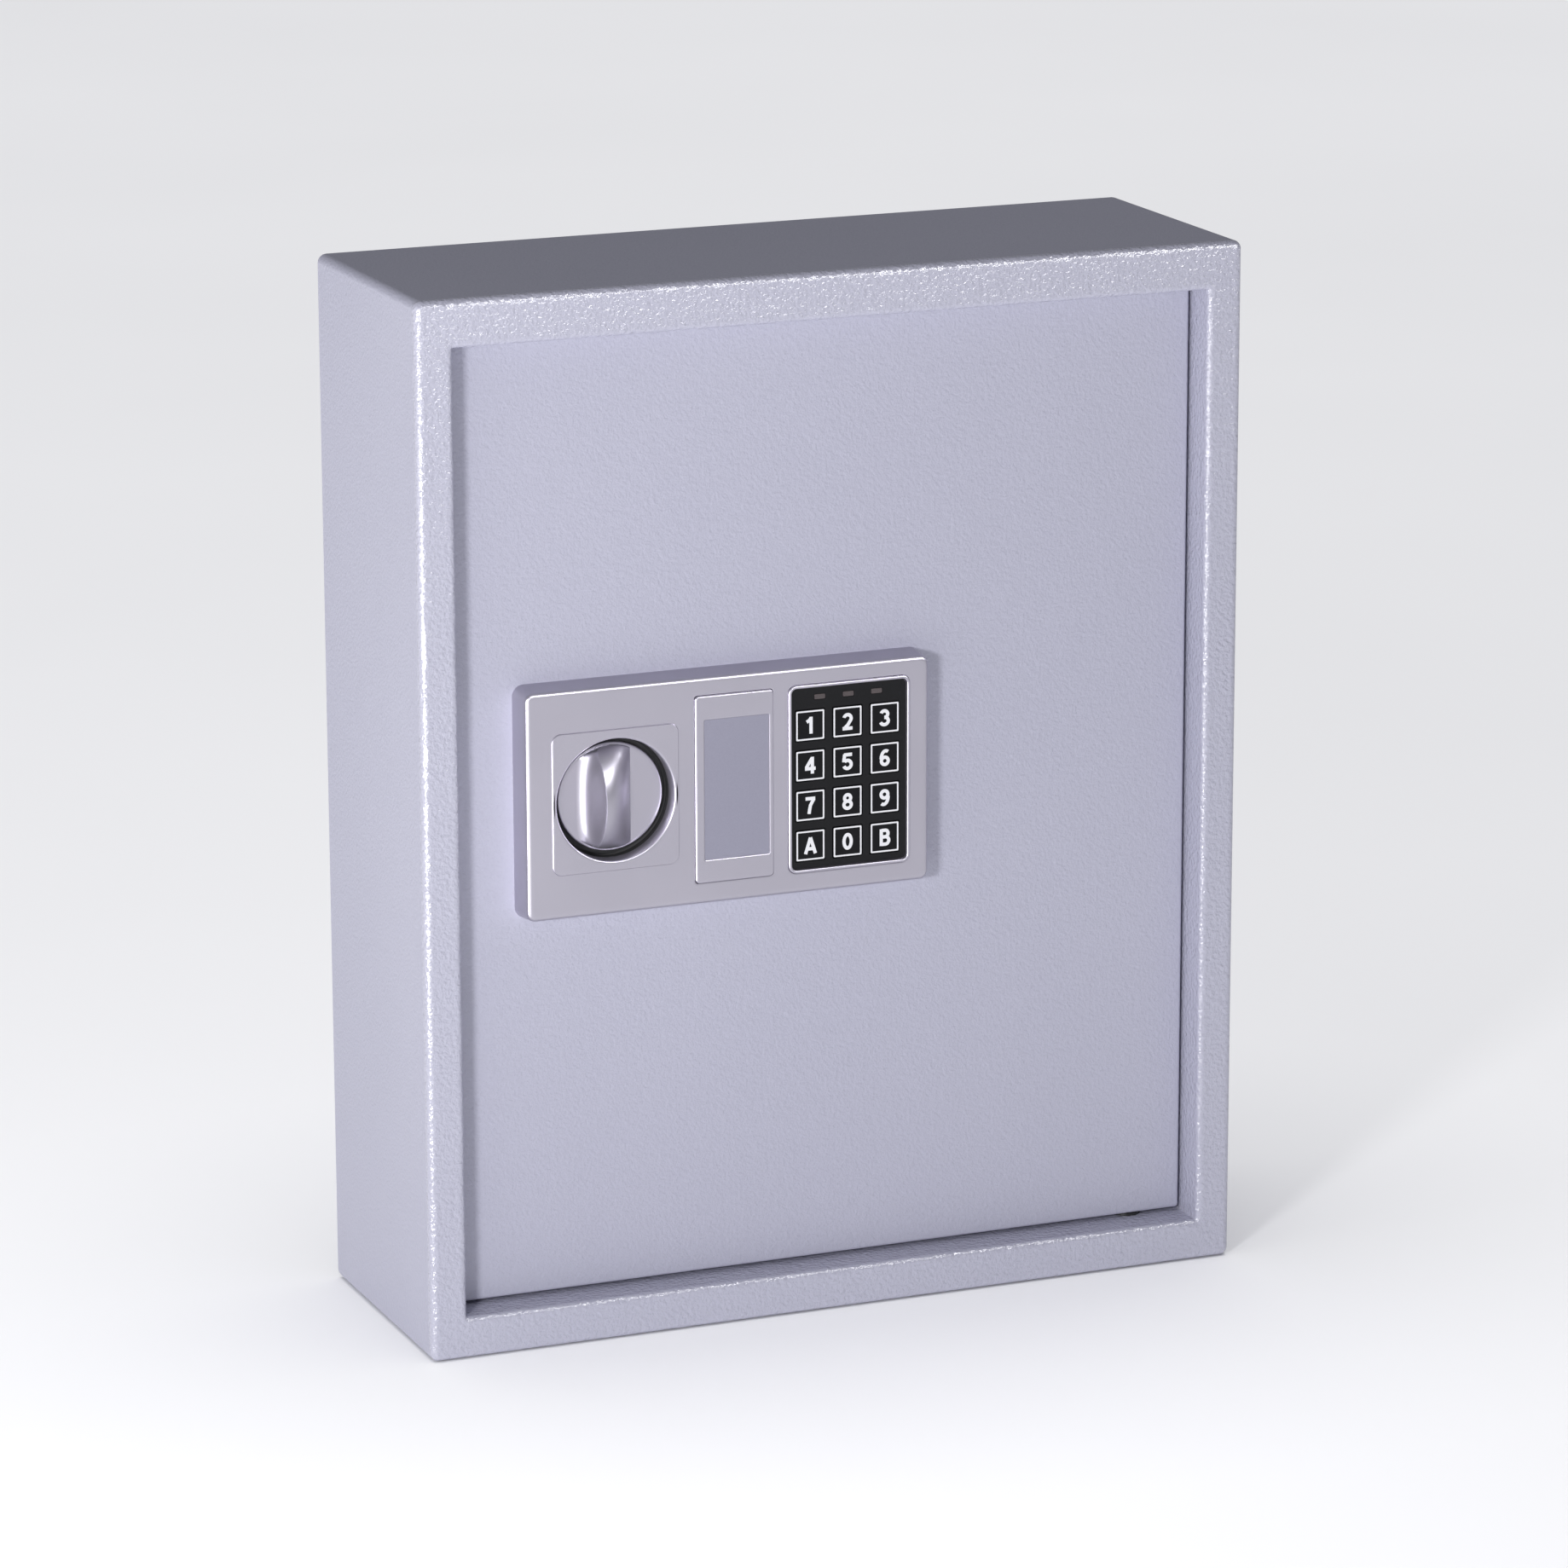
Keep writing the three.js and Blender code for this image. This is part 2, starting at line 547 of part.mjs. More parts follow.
// A pan-head screw with a cross slot.
function coverScrew(x, z) {
  const seat = LOCK_BOX.front + LOCK_BOX.wall;
  const head = rodY(3.2, seat + 0.1, seat + 2, x, z, 20);
  const shank = rodY(1.5, LOCK_BOX.front + 0.1, seat + 0.2, x, z, 12);
  const slots = [
    block(x - 0.4, x + 0.4, seat + 1, seat + 3, z - 2, z + 2),
    block(x - 2, x + 2, seat + 1, seat + 3, z - 0.4, z + 0.4),
  ];
  return cut(join(head, shank), ...slots);
}

// Tray for four cells side by side, open at the rear.
function batteryBox() {
  const { left, right, bottom, top, front, rear, wall } = BATTERY_BOX;
  const outside = block(left, right, front, rear, bottom, top);
  const inside = block(left + wall, right - wall, front + wall, rear + 1, bottom + wall, top - wall);
  return cut(outside, inside);
}

// The tray's cover, with three grip ribs at its leading end.
function batteryCover() {
  const { left, right, bottom, top, rear } = BATTERY_BOX;
  const plate = block(left, right, rear + 0.1, rear + 1.6, bottom, top);
  const ribs = [0, 1, 2].map((i) => {
    const x = right - 10 + 3 * i;
    return block(x, x + 1.2, rear + 1.5, rear + 2.3, bottom + 15, top - 15);
  });
  return join(plate, ...ribs);
}

// A cell standing upright, with its raised end at the top.
function cell(index) {
  const x = (BATTERY_BOX.left + BATTERY_BOX.right) / 2 + (index - 1.5) * CELL.pitch;
  const z0 = (BATTERY_BOX.bottom + BATTERY_BOX.top - CELL.length) / 2;
  const body = rodZ(CELL.radius, z0, z0 + CELL.length - 1.5, x, CELL.y, 24);
  return join(body, rodZ(2.7, z0 + CELL.length - 2, z0 + CELL.length, x, CELL.y, 16));
}

add("body_wrap", wrappedShell(), POWDER_COAT);
addFrame();
add("back_plate", backPlate(), POWDER_COAT);
const lipTop = OPENING.top + SHEET;
const lipBottom = OPENING.bottom - SHEET;
add("hinge_pin_top", hingePin(lipTop + 0.3, lipTop + 2.3, DOOR.top - 12, lipTop + 1), STEEL);
add("hinge_pin_bottom", hingePin(lipBottom - 2.3, lipBottom - 0.3, lipBottom - 1, DOOR.bottom + 10), STEEL);
add("hinge_washer", hingeWasher(), WHITE_PLASTIC);
add("door_stop", doorStop(), POWDER_COAT);
for (let i = 0; i < RAIL.count; i++) {
  add("hook_rail_" + (i + 1), hookRail(RAIL.first + i * RAIL.pitch), POWDER_COAT);
}
add("door_pan", doorPan(), POWDER_COAT);
add("panel_body", panelBody(), SILVER_PLASTIC);
add("knob", knob(), SILVER_PLASTIC);
add("knob_cam", knobCam(), STEEL);
add("lock_base", lockBase(), STEEL);
add("bolt_carriage", boltCarriage(), STEEL);
add("bolt_upper", bolt(KNOB.z + BOLT.rise), STEEL);
add("bolt_lower", bolt(KNOB.z - BOLT.rise), STEEL);
add("solenoid_body", solenoidBody(), STEEL);
add("solenoid_plunger", rodZ(PLUNGER.radius, PLUNGER.foot, PLUNGER.tip, PLUNGER.x, PLUNGER.y), STEEL);
add("override_barrel", overrideBarrel(), BRASS);
add("override_plug", overridePlug(), BRASS);
add("override_cover", middleCover(), SILVER_PLASTIC);
add("keypad_bezel", keypadBezel(), SILVER_PLASTIC);
add("keypad_film", keypadFilm(), BLACK_FILM);
addKeys();
addLamps();
add("keypad_board", block(BEZEL.x - 23, BEZEL.x + 23, -44.5, -42.9, BEZEL.z - 34, BEZEL.z + 34), BOARD);
add("keypad_lead", keypadLead(), BLACK_PLASTIC);
add("lock_cover", lockCover(), POWDER_COAT);
EARS.forEach(([x, z], i) => add("cover_screw_" + (i + 1), coverScrew(x, z), STEEL));
const resetPin = rodY(RESET.radius, LOCK_BOX.rear - 4, LOCK_BOX.rear + 1.5, RESET.x, RESET.z, 20);
add("reset_button", resetPin, RED_PLASTIC);
add("battery_box", batteryBox(), BLACK_PLASTIC);
add("battery_cover", batteryCover(), BLACK_PLASTIC);
for (let i = 0; i < 4; i++) {
  add("cell_" + (i + 1), cell(i), CELL_WRAP);
}

export default model;
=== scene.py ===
import math

import bmesh
import bpy
import numpy as np
from mathutils import Matrix, Vector


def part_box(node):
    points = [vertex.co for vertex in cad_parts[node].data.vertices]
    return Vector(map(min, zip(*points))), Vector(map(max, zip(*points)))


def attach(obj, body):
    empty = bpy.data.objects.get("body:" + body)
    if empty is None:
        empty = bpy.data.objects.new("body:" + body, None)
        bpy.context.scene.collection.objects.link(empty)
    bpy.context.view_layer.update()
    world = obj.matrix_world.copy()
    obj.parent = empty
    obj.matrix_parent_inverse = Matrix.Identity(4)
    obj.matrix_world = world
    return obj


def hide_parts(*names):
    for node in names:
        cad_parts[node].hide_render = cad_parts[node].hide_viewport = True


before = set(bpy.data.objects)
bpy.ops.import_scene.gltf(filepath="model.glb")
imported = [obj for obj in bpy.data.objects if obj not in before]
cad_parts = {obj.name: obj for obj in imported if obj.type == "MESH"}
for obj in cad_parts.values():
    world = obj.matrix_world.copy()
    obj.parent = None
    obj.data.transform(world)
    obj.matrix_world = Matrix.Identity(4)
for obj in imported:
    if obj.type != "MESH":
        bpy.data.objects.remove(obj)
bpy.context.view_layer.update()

# ---- Wrapped shell ---------------------------------------------------------------------------------
# The cabinet's sides, top and bottom are one wrap of sheet steel, bent to a small corner and powder
# coated. The front frame is welded to its front edge and the back plate to its rear edge.

MM = 0.001


class Value:
    """A shader socket that takes part in arithmetic: each operator adds one Math node."""

    def __init__(self, finish, socket):
        self.finish = finish
        self.socket = socket

    def maths(self, operation, first, second):
        return self.finish.node("ShaderNodeMath", {"operation": operation}, {0: first, 1: second})

    def __add__(self, other):
        return self.maths("ADD", self, other)

    def __radd__(self, other):
        return self.maths("ADD", other, self)

    def __mul__(self, other):
        return self.maths("MULTIPLY", self, other)

    def __rmul__(self, other):
        return self.maths("MULTIPLY", other, self)

    def __gt__(self, other):
        return self.maths("GREATER_THAN", self, other)


class Finish:
    """A material in the making: one Principled shader whose sockets take numbers, colours or Values."""

    def __init__(self, name, **constants):
        self.material = bpy.data.materials.new(name)
        self.material.use_nodes = True
        self.tree = self.material.node_tree
        self.shader = self.tree.nodes["Principled BSDF"]
        self.place = self.node("ShaderNodeTexCoord", output="Object")
        for socket, value in constants.items():
            self.set(socket.replace("_", " "), value)

    def node(self, kind, settings=(), sockets=(), output=0):
        """One node: its settings are made first, then its sockets get numbers or links."""
        made = self.tree.nodes.new(kind)
        for key, value in dict(settings).items():
            setattr(made, key, value)
        for key, value in dict(sockets).items():
            self.feed(made.inputs[key], value)
        return Value(self, made.outputs[output])

    def feed(self, socket, value):
        """A Value is linked to the socket, and anything else becomes the socket's own value."""
        if isinstance(value, Value):
            self.tree.links.new(value.socket, socket)
        else:
            socket.default_value = value

    def set(self, socket, value):
        """The same for one of the shader's sockets, by its name."""
        self.feed(self.shader.inputs[socket], value)

    def noise(self, scale, detail=2.0, place=None):
        """Smooth random values from 0 to 1, with the given number of lumps to a metre."""
        sockets = {"Vector": place or self.place, "Scale": scale, "Detail": detail}
        return self.node("ShaderNodeTexNoise", {}, sockets, "Fac")

    def stretched(self, x, y, z):
        """The object's own coordinates, scaled apart on each axis, for grain and brushing."""
        return self.node("ShaderNodeMapping", {}, {"Vector": self.place, "Scale": (x, y, z)})

    def between(self, factor, low, high):
        """A colour between two colours."""
        sockets = {0: factor, 6: (*low, 1), 7: (*high, 1)}
        return self.node("ShaderNodeMix", {"data_type": "RGBA"}, sockets, 2)

    def bump(self, height, strength, distance):
        """Small relief in the shader's normal; the distance is its depth in metres."""
        sockets = {"Height": height, "Strength": strength, "Distance": distance}
        self.set("Normal", self.node("ShaderNodeBump", {}, sockets, "Normal"))


def tidied(mesh, sharp=35):
    """The mesh with doubled points merged, faces turned outwards and shading smooth up to an angle."""
    work = bmesh.new()
    work.from_mesh(mesh)
    bmesh.ops.remove_doubles(work, verts=work.verts, dist=1e-6)
    bmesh.ops.dissolve_degenerate(work, edges=work.edges, dist=1e-7)
    bmesh.ops.recalc_face_normals(work, faces=work.faces)
    work.to_mesh(mesh)
    work.free()
    mesh.shade_smooth()
    mesh.set_sharp_from_angle(angle=math.radians(sharp))
    return mesh


def skin(name, grid, wrap_rows=False, wrap_columns=True, cap_first=False, cap_last=False):
    """Quads over a grid of points (rows x columns x 3), joined end to end where it wraps. A cap fills
    the first or the last row with one face."""
    rows, columns = grid.shape[:2]
    index = np.arange(rows * columns).reshape(rows, columns)
    if wrap_rows:
        index = np.vstack([index, index[:1]])
    if wrap_columns:
        index = np.hstack([index, index[:, :1]])
    corners = [index[:-1, :-1], index[:-1, 1:], index[1:, 1:], index[1:, :-1]]
    faces = np.stack(corners, -1).reshape(-1, 4).tolist()
    if cap_first:
        faces.append(list(range(columns))[::-1])
    if cap_last:
        faces.append(list(range((rows - 1) * columns, rows * columns)))
    mesh = bpy.data.meshes.new(name)
    mesh.from_pydata(grid.reshape(-1, 3).tolist(), [], faces)
    return tidied(mesh)


def settle(name, meshes, body, finish, slot, *nodes):
    """One object from the meshes: it gets its finish, rides on its body and stands for its nodes."""
    whole = bmesh.new()
    for mesh in meshes:
        whole.from_mesh(mesh)
    bmesh.ops.remove_doubles(whole, verts=whole.verts, dist=1e-7)
    mesh = bpy.data.meshes.new(name)
    whole.to_mesh(mesh)
    whole.free()
    mesh.materials.append(finish.material)
    piece = bpy.data.objects.new(name, mesh)
    bpy.context.scene.collection.objects.link(piece)
    weighted = piece.modifiers.new("weighted_normals", "WEIGHTED_NORMAL")
    weighted.keep_sharp = True
    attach(piece, body)
    if nodes:
        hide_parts(*nodes)
    return piece


def rounded_ring(left, right, bottom, top, radius, y, side=12, arc=8):
    """A rounded rectangle at depth y, counter-clockwise from the front: four quarter circles joined by
    straight sides."""
    turn = np.radians(np.linspace(0, 90, arc + 1))
    centres = [(right - radius, bottom + radius), (right - radius, top - radius),
               (left + radius, top - radius), (left + radius, bottom + radius)]
    loop = []
    for k, centre in enumerate(centres):
        angle = turn + math.radians(90 * (k - 1))
        corner = np.array(centre) + radius * np.stack([np.cos(angle), np.sin(angle)], -1)
        heading = np.array([math.cos(math.radians(90 * k)), math.sin(math.radians(90 * k))])
        following = np.array(centres[(k + 1) % 4]) + radius * heading
        along = np.linspace(0, 1, side + 1)[1:-1, None]
        loop += [corner, corner[-1] * (1 - along) + following * along]
    return np.insert(np.concatenate(loop), 1, y, axis=1)


def coated(name, scale, lumps, roughness, index):
    """A powder coat: pigment that clouds a little, under an orange-peel skin whose lumps have the given
    scale per metre and the given depth in metres. The index sets how strongly it shines."""
    made = Finish(name, IOR=index)
    peel = made.noise(scale, 2.5)
    grit = made.noise(1900, 1)
    cloud = made.noise(7, 3)
    made.set("Base Color", made.between(cloud * 0.6 + peel * 0.4, (0.450, 0.450, 0.555),
                                         (0.540, 0.537, 0.645)))
    made.set("Roughness", roughness + peel * 0.10)
    made.bump(peel + grit * 0.1, 1.0, lumps)
    return made


powder = coated("powder_coat", scale=800, lumps=0.0003, roughness=0.36, index=1.5)

SHEET = 1.5 * MM
shell_low, shell_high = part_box("body_wrap")
shell_corner = 3 * MM


def shell_ring(inset, y):
    """The wrap's outline moved inwards by the inset, with its corners kept concentric."""
    return rounded_ring(shell_low.x + inset, shell_high.x - inset, shell_low.z + inset,
                        shell_high.z - inset, max(shell_corner - inset, 0.6 * MM), y, side=30)


shell_rows = [shell_ring(0, shell_low.y), shell_ring(0, (shell_low.y + shell_high.y) / 2),
              shell_ring(0, shell_high.y), shell_ring(SHEET, shell_high.y), shell_ring(SHEET, shell_low.y)]
settle("shell", [skin("shell", np.array(shell_rows), wrap_rows=True)], "cabinet", powder,
       "powder_coat", "body_wrap")

# ---- Front frame -----------------------------------------------------------------------------------
# Two full-height stiles and two rails butted between them, folded from the same sheet: a rounded outer
# edge, a face, a rounded inner edge and a lip that returns behind the door's face. The welds are ground
# by hand, so the inner edge wanders a little and the coat over it is lumpier.

lumpy = coated("powder_coat_lumpy", scale=640, lumps=0.00062, roughness=0.18, index=1.75)
stile_low, stile_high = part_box("left_stile")
opening = {"left": stile_high.x, "right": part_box("right_stile")[0].x,
           "bottom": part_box("bottom_rail")[1].z, "top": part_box("top_rail")[0].z}
FRAME_BEND = 2.5 * MM
INNER_BEND = 2.0 * MM
BUTT = 0.6 * MM
SHOULDER_STEPS = 3
CORNER_STEPS = 8
SIDE_STEPS = 60


def line(start, end, steps):
    """Points at even steps from the start to the end, both included."""
    return np.linspace(start, end, steps + 1)


def frame_ring(left, right, bottom, top, radius, y):
    """A ring of the frame with its points parted at the butt joints: for each corner a shoulder, a
    quarter circle and a shoulder, then the straight side to the next corner."""
    butts_x = (opening["right"] - BUTT, opening["left"] + BUTT)
    butts_z = (opening["bottom"] + BUTT, opening["top"] - BUTT)
    corners = [(right, bottom, 1, -1), (right, top, 1, 1), (left, top, -1, 1), (left, bottom, -1, -1)]
    turn = np.radians(np.linspace(0, 90, CORNER_STEPS + 1))
    enters, arcs, leaves = [], [], []
    for k, (x, z, out_x, out_z) in enumerate(corners):
        angle = turn + math.radians(90 * (k - 1))
        centre = np.array([x - out_x * radius, z - out_z * radius])
        arcs.append(centre + radius * np.stack([np.cos(angle), np.sin(angle)], -1))
        level = np.array([butts_x[0] if out_x > 0 else butts_x[1], z])
        upright = np.array([x, butts_z[1] if out_z > 0 else butts_z[0]])
        enters.append(level if k % 2 == 0 else upright)
        leaves.append(upright if k % 2 == 0 else level)
    loop = []
    for k in range(4):
        loop.append(line(enters[k], arcs[k][0], SHOULDER_STEPS)[:-1])
        loop.append(arcs[k])
        loop.append(line(arcs[k][-1], leaves[k], SHOULDER_STEPS)[1:])
        loop.append(line(leaves[k], enters[(k + 1) % 4], SIDE_STEPS)[1:-1])
    return np.insert(np.concatenate(loop), 1, y, axis=1)


def outer_ring(inset, y):
    """The frame's outline moved inwards by the inset."""
    return frame_ring(shell_low.x + inset, shell_high.x - inset, shell_low.z + inset,
                      shell_high.z - inset, max(shell_corner - inset, 0.6 * MM), y)


def inner_ring(outset, y):
    """A ring round the opening. Near the inner bend its points wander by up to about 0.1 mm."""
    ring = frame_ring(opening["left"] - outset, opening["right"] + outset, opening["bottom"] - outset,
                      opening["top"] + outset, BUTT + outset, y)
    x, z = ring[:, 0], ring[:, 2]
    wander = np.sin(310 * x + 520 * z) + np.sin(870 * x - 640 * z + 1) + np.sin(1300 * (x + z) + 2)
    ring[:, 1] += 0.03 * MM * wander
    ring[:, 0] += 0.025 * MM * wander * np.sign(x)
    return ring


frame_front = stile_low.y
bend = np.radians(np.linspace(0, 90, 8))
frame_rows = [outer_ring(0, shell_low.y)]
frame_rows += [outer_ring(FRAME_BEND * (1 - math.cos(a)), frame_front + FRAME_BEND * (1 - math.sin(a)))
               for a in bend]
frame_rows += [outer_ring(FRAME_BEND + 0.5 * MM, frame_front), inner_ring(INNER_BEND + 0.5 * MM, frame_front)]
frame_rows += [inner_ring(INNER_BEND * (1 - math.cos(a)), frame_front + INNER_BEND * (1 - math.sin(a)))
               for a in bend[::-1]]
frame_rows += [inner_ring(0, stile_high.y), inner_ring(SHEET, stile_high.y),
               inner_ring(SHEET, frame_front + SHEET), outer_ring(SHEET, frame_front + SHEET),
               outer_ring(SHEET, shell_low.y)]
frame_grid = np.array(frame_rows)
corner_points = 2 * SHOULDER_STEPS + CORNER_STEPS + 1
quarter = corner_points + SIDE_STEPS - 1
frame_parts = {"right_stile": (0, quarter + corner_points - 1),
               "top_rail": (quarter + corner_points - 1, 2 * quarter),
               "left_stile": (2 * quarter, 3 * quarter + corner_points - 1),
               "bottom_rail": (3 * quarter + corner_points - 1, 4 * quarter)}
for name, (first, last) in frame_parts.items():
    columns = np.arange(first, last + 1) % (4 * quarter)
    lengthways = np.swapaxes(frame_grid[:, columns], 0, 1)
    mesh = skin(name, lengthways, cap_first=True, cap_last=True)
    settle(name + "_bent", [mesh], "cabinet", lumpy, "powder_coat", name)

# ---- Back plate, door stop and hook rails -----------------------------------------------------------
# The back plate closes the shell and has four holes for wall fixings. Six rails of bent hooks are
# spot-welded to it, and a tab behind the top rail stops the door. All are cut from sheet and coated.


def softened(node, body, finish, edge, segments=2):
    """A CAD node's own shape with its sharp edges rolled over: the copy is merged, its flat faces are
    joined, and each edge over 35 degrees gets a small round."""
    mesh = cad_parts[node].data.copy()
    mesh.materials.clear()
    work = bmesh.new()
    work.from_mesh(mesh)
    bmesh.ops.remove_doubles(work, verts=work.verts, dist=2e-6)
    bmesh.ops.dissolve_limit(work, angle_limit=math.radians(0.5), verts=work.verts, edges=work.edges)
    work.to_mesh(mesh)
    work.free()
    mesh.shade_smooth()
    mesh.materials.append(finish.material)
    piece = bpy.data.objects.new(node + "_soft", mesh)
    bpy.context.scene.collection.objects.link(piece)
    roll = piece.modifiers.new("rolled_edges", "BEVEL")
    roll.width = edge * MM
    roll.segments = segments
    roll.limit_method = "ANGLE"
    roll.angle_limit = math.radians(35)
    weighted = piece.modifiers.new("weighted_normals", "WEIGHTED_NORMAL")
    weighted.weight = 100
    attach(piece, body)
    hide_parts(node)


softened("back_plate", "cabinet", powder, 0.35)
softened("door_stop", "cabinet", powder, 0.3)
for number in range(1, 7):
    softened(f"hook_rail_{number}", "cabinet", powder, 0.25)

# ---- Hinge pins -------------------------------------------------------------------------------------
# Two headed steel pins, zinc plated, pass through the frame's lips into the door's flanges. A nylon
# washer carries the door's weight on the lower pin.

zinc = Finish("zinc_plate", Metallic=0.95)
brushed = zinc.noise(60, 4, zinc.stretched(1, 1, 22))
blotch = zinc.noise(160, 3)
zinc.set("Base Color", zinc.between(blotch, (0.50, 0.51, 0.53), (0.66, 0.67, 0.67)))
zinc.set("Roughness", 0.26 + brushed * 0.22)
zinc.bump(brushed, 0.12, 0.0001)
softened("hinge_pin_top", "cabinet", zinc, 0.3)
softened("hinge_pin_bottom", "cabinet", zinc, 0.3)

nylon = Finish("black_nylon")
milky = nylon.noise(300, 2)
nylon.set("Base Color", nylon.between(milky, (0.012, 0.012, 0.013), (0.025, 0.025, 0.026)))
nylon.set("Roughness", 0.42 + milky * 0.12)
nylon.bump(milky, 0.1, 0.0001)
softened("hinge_washer", "cabinet", nylon, 0.2)

# ---- Door -------------------------------------------------------------------------------------------
# A pan of sheet steel: a flat plate with four shallow flanges turned back. The bend is tight, so the
# edge is only just rounded, and the same powder coat covers it.

door_low, door_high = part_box("door_pan")
DOOR_PLATE = 2 * MM
DOOR_BEND = 1.2 * MM


def door_ring(inset, y):
    """The door's outline moved inwards by the inset."""
    return rounded_ring(door_low.x + inset, door_high.x - inset, door_low.z + inset,
                        door_high.z - inset, max(1.3 * MM - inset, 0.35 * MM), y, side=40)


door_rows = [door_ring(SHEET + 1 * MM, door_low.y + DOOR_PLATE), door_ring(SHEET, door_low.y + DOOR_PLATE),
             door_ring(SHEET, door_high.y), door_ring(0, door_high.y)]
door_rows += [door_ring(DOOR_BEND * (1 - math.cos(a)), door_low.y + DOOR_BEND * (1 - math.sin(a)))
              for a in bend]
door_rows += [door_ring(DOOR_BEND + 1 * MM, door_low.y)]
settle("door_leaf", [skin("door_leaf", np.array(door_rows), cap_first=True, cap_last=True)], "door",
       powder, "powder_coat", "door_pan")

# ---- Lock panel housing -----------------------------------------------------------------------------
# A housing painted satin silver. Its faces at the bottom of the knob's well are black, which is painted
# shade for the deep gap round the disc. It has drafted sides, a softly rounded face edge, a raised square
# round the well, and pockets for the middle cover and the keypad.

panel_low, panel_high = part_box("panel_body")
panel_face = panel_low.y + 0.5 * MM
panel_rear = panel_high.y
CELL_STEPS = 28
CELL_ARC = 8
RIM = 4 * MM
flat = {"left": panel_low.x + RIM, "right": panel_high.x - RIM,
        "bottom": panel_low.z + RIM, "top": panel_high.z - RIM}
knob_low, knob_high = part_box("knob")
knob_x, knob_z = (knob_low.x + knob_high.x) / 2, (knob_low.z + knob_high.z) / 2
cover_low, cover_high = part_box("override_cover")
bezel_low, bezel_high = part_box("keypad_bezel")
raised_half = 22.5 * MM
splits = [flat["left"], (knob_x + raised_half + cover_low.x) / 2, (cover_high.x + bezel_low.x) / 2,
          flat["right"]]


def rim_ring(distance, y):
    """The flat face's outline pushed out by a distance: the sides move along their normals and each
    corner opens into a quarter circle."""
    levels = np.linspace(flat["bottom"], flat["top"], CELL_STEPS + 1)
    across = np.concatenate([np.linspace(splits[i], splits[i + 1], CELL_STEPS + 1)[(i > 0):]
                             for i in range(3)])
    turn = np.radians(np.linspace(0, 90, CELL_ARC + 1))[1:-1]
    right = np.stack([np.full(levels.size, flat["right"] + distance), levels], -1)
    top = np.stack([across[::-1], np.full(across.size, flat["top"] + distance)], -1)
    left = np.stack([np.full(levels.size, flat["left"] - distance), levels[::-1]], -1)
    bottom = np.stack([across, np.full(across.size, flat["bottom"] - distance)], -1)
    loop = []
    for k, (side, corner) in enumerate([(right, ("right", "top")), (top, ("left", "top")),
                                        (left, ("left", "bottom")), (bottom, ("right", "bottom"))]):
        angle = turn + math.radians(90 * k)
        fan = np.stack([np.cos(angle), np.sin(angle)], -1) * distance
        loop += [side, np.array([flat[corner[0]], flat[corner[1]]]) + fan]
    return np.insert(np.concatenate(loop), 1, y, axis=1)


def cell_ring(index, y):
    """One cell of the flat face: a rectangle between two splits, counter-clockwise from its lower
    right corner."""
    x = np.linspace(splits[index], splits[index + 1], CELL_STEPS + 1)
    z = np.linspace(flat["bottom"], flat["top"], CELL_STEPS + 1)
    right = np.stack([np.full(CELL_STEPS, x[-1]), z[:-1]], -1)
    top = np.stack([x[::-1][:-1], np.full(CELL_STEPS, z[-1])], -1)
    left = np.stack([np.full(CELL_STEPS, x[0]), z[::-1][:-1]], -1)
    bottom = np.stack([x[:-1], np.full(CELL_STEPS, z[0])], -1)
    return np.insert(np.concatenate([right, top, left, bottom]), 1, y, axis=1)


def box_ring(x, z, width, height, radius, y):
    """A rounded rectangle whose points start half way round its lower right corner, as a cell's do."""
    ring = rounded_ring(x - width / 2, x + width / 2, z - height / 2, z + height / 2, radius, y,
                        side=CELL_STEPS - CELL_ARC, arc=CELL_ARC)
    return np.roll(ring, -(CELL_ARC // 2), axis=0)


def round_ring(like, x, z, radius, y):
    """A circle whose points lie on the same rays from its centre as those of another ring."""
    ray = like[:, [0, 2]] - np.array([x, z])
    ray /= np.linalg.norm(ray, axis=1, keepdims=True)
    return np.insert(np.array([x, z]) + radius * ray, 1, y, axis=1)


silver = Finish("silver_paint", Metallic=0.85)
flake = silver.noise(5200, 1)
flow = silver.noise(26, 2)
silver.set("Base Color", silver.between(flake * 0.5 + flow * 0.5, (0.41, 0.395, 0.455),
                                        (0.52, 0.50, 0.57)))
silver.set("Roughness", 0.30 + flake * 0.1)
silver.bump(flake * 0.5 + flow, 0.08, 0.0001)

# The rolled edge and the drafted side, as millimetres outwards and millimetres back from the face.
rim_profile = [(0, 0), (1.3, 0), (1.8, 0.04), (2.25, 0.22), (2.65, 0.55), (2.95, 1.0), (3.12, 1.7),
               (3.3, 3.2)]
rim_rows = [rim_ring(out * MM, panel_face + back * MM) for out, back in rim_profile]
rim_rows += [rim_ring(3.95 * MM, panel_rear - 0.3 * MM), rim_ring(RIM, panel_rear), rim_ring(0, panel_rear)]
panel_meshes = [skin("rim", np.array(rim_rows))]

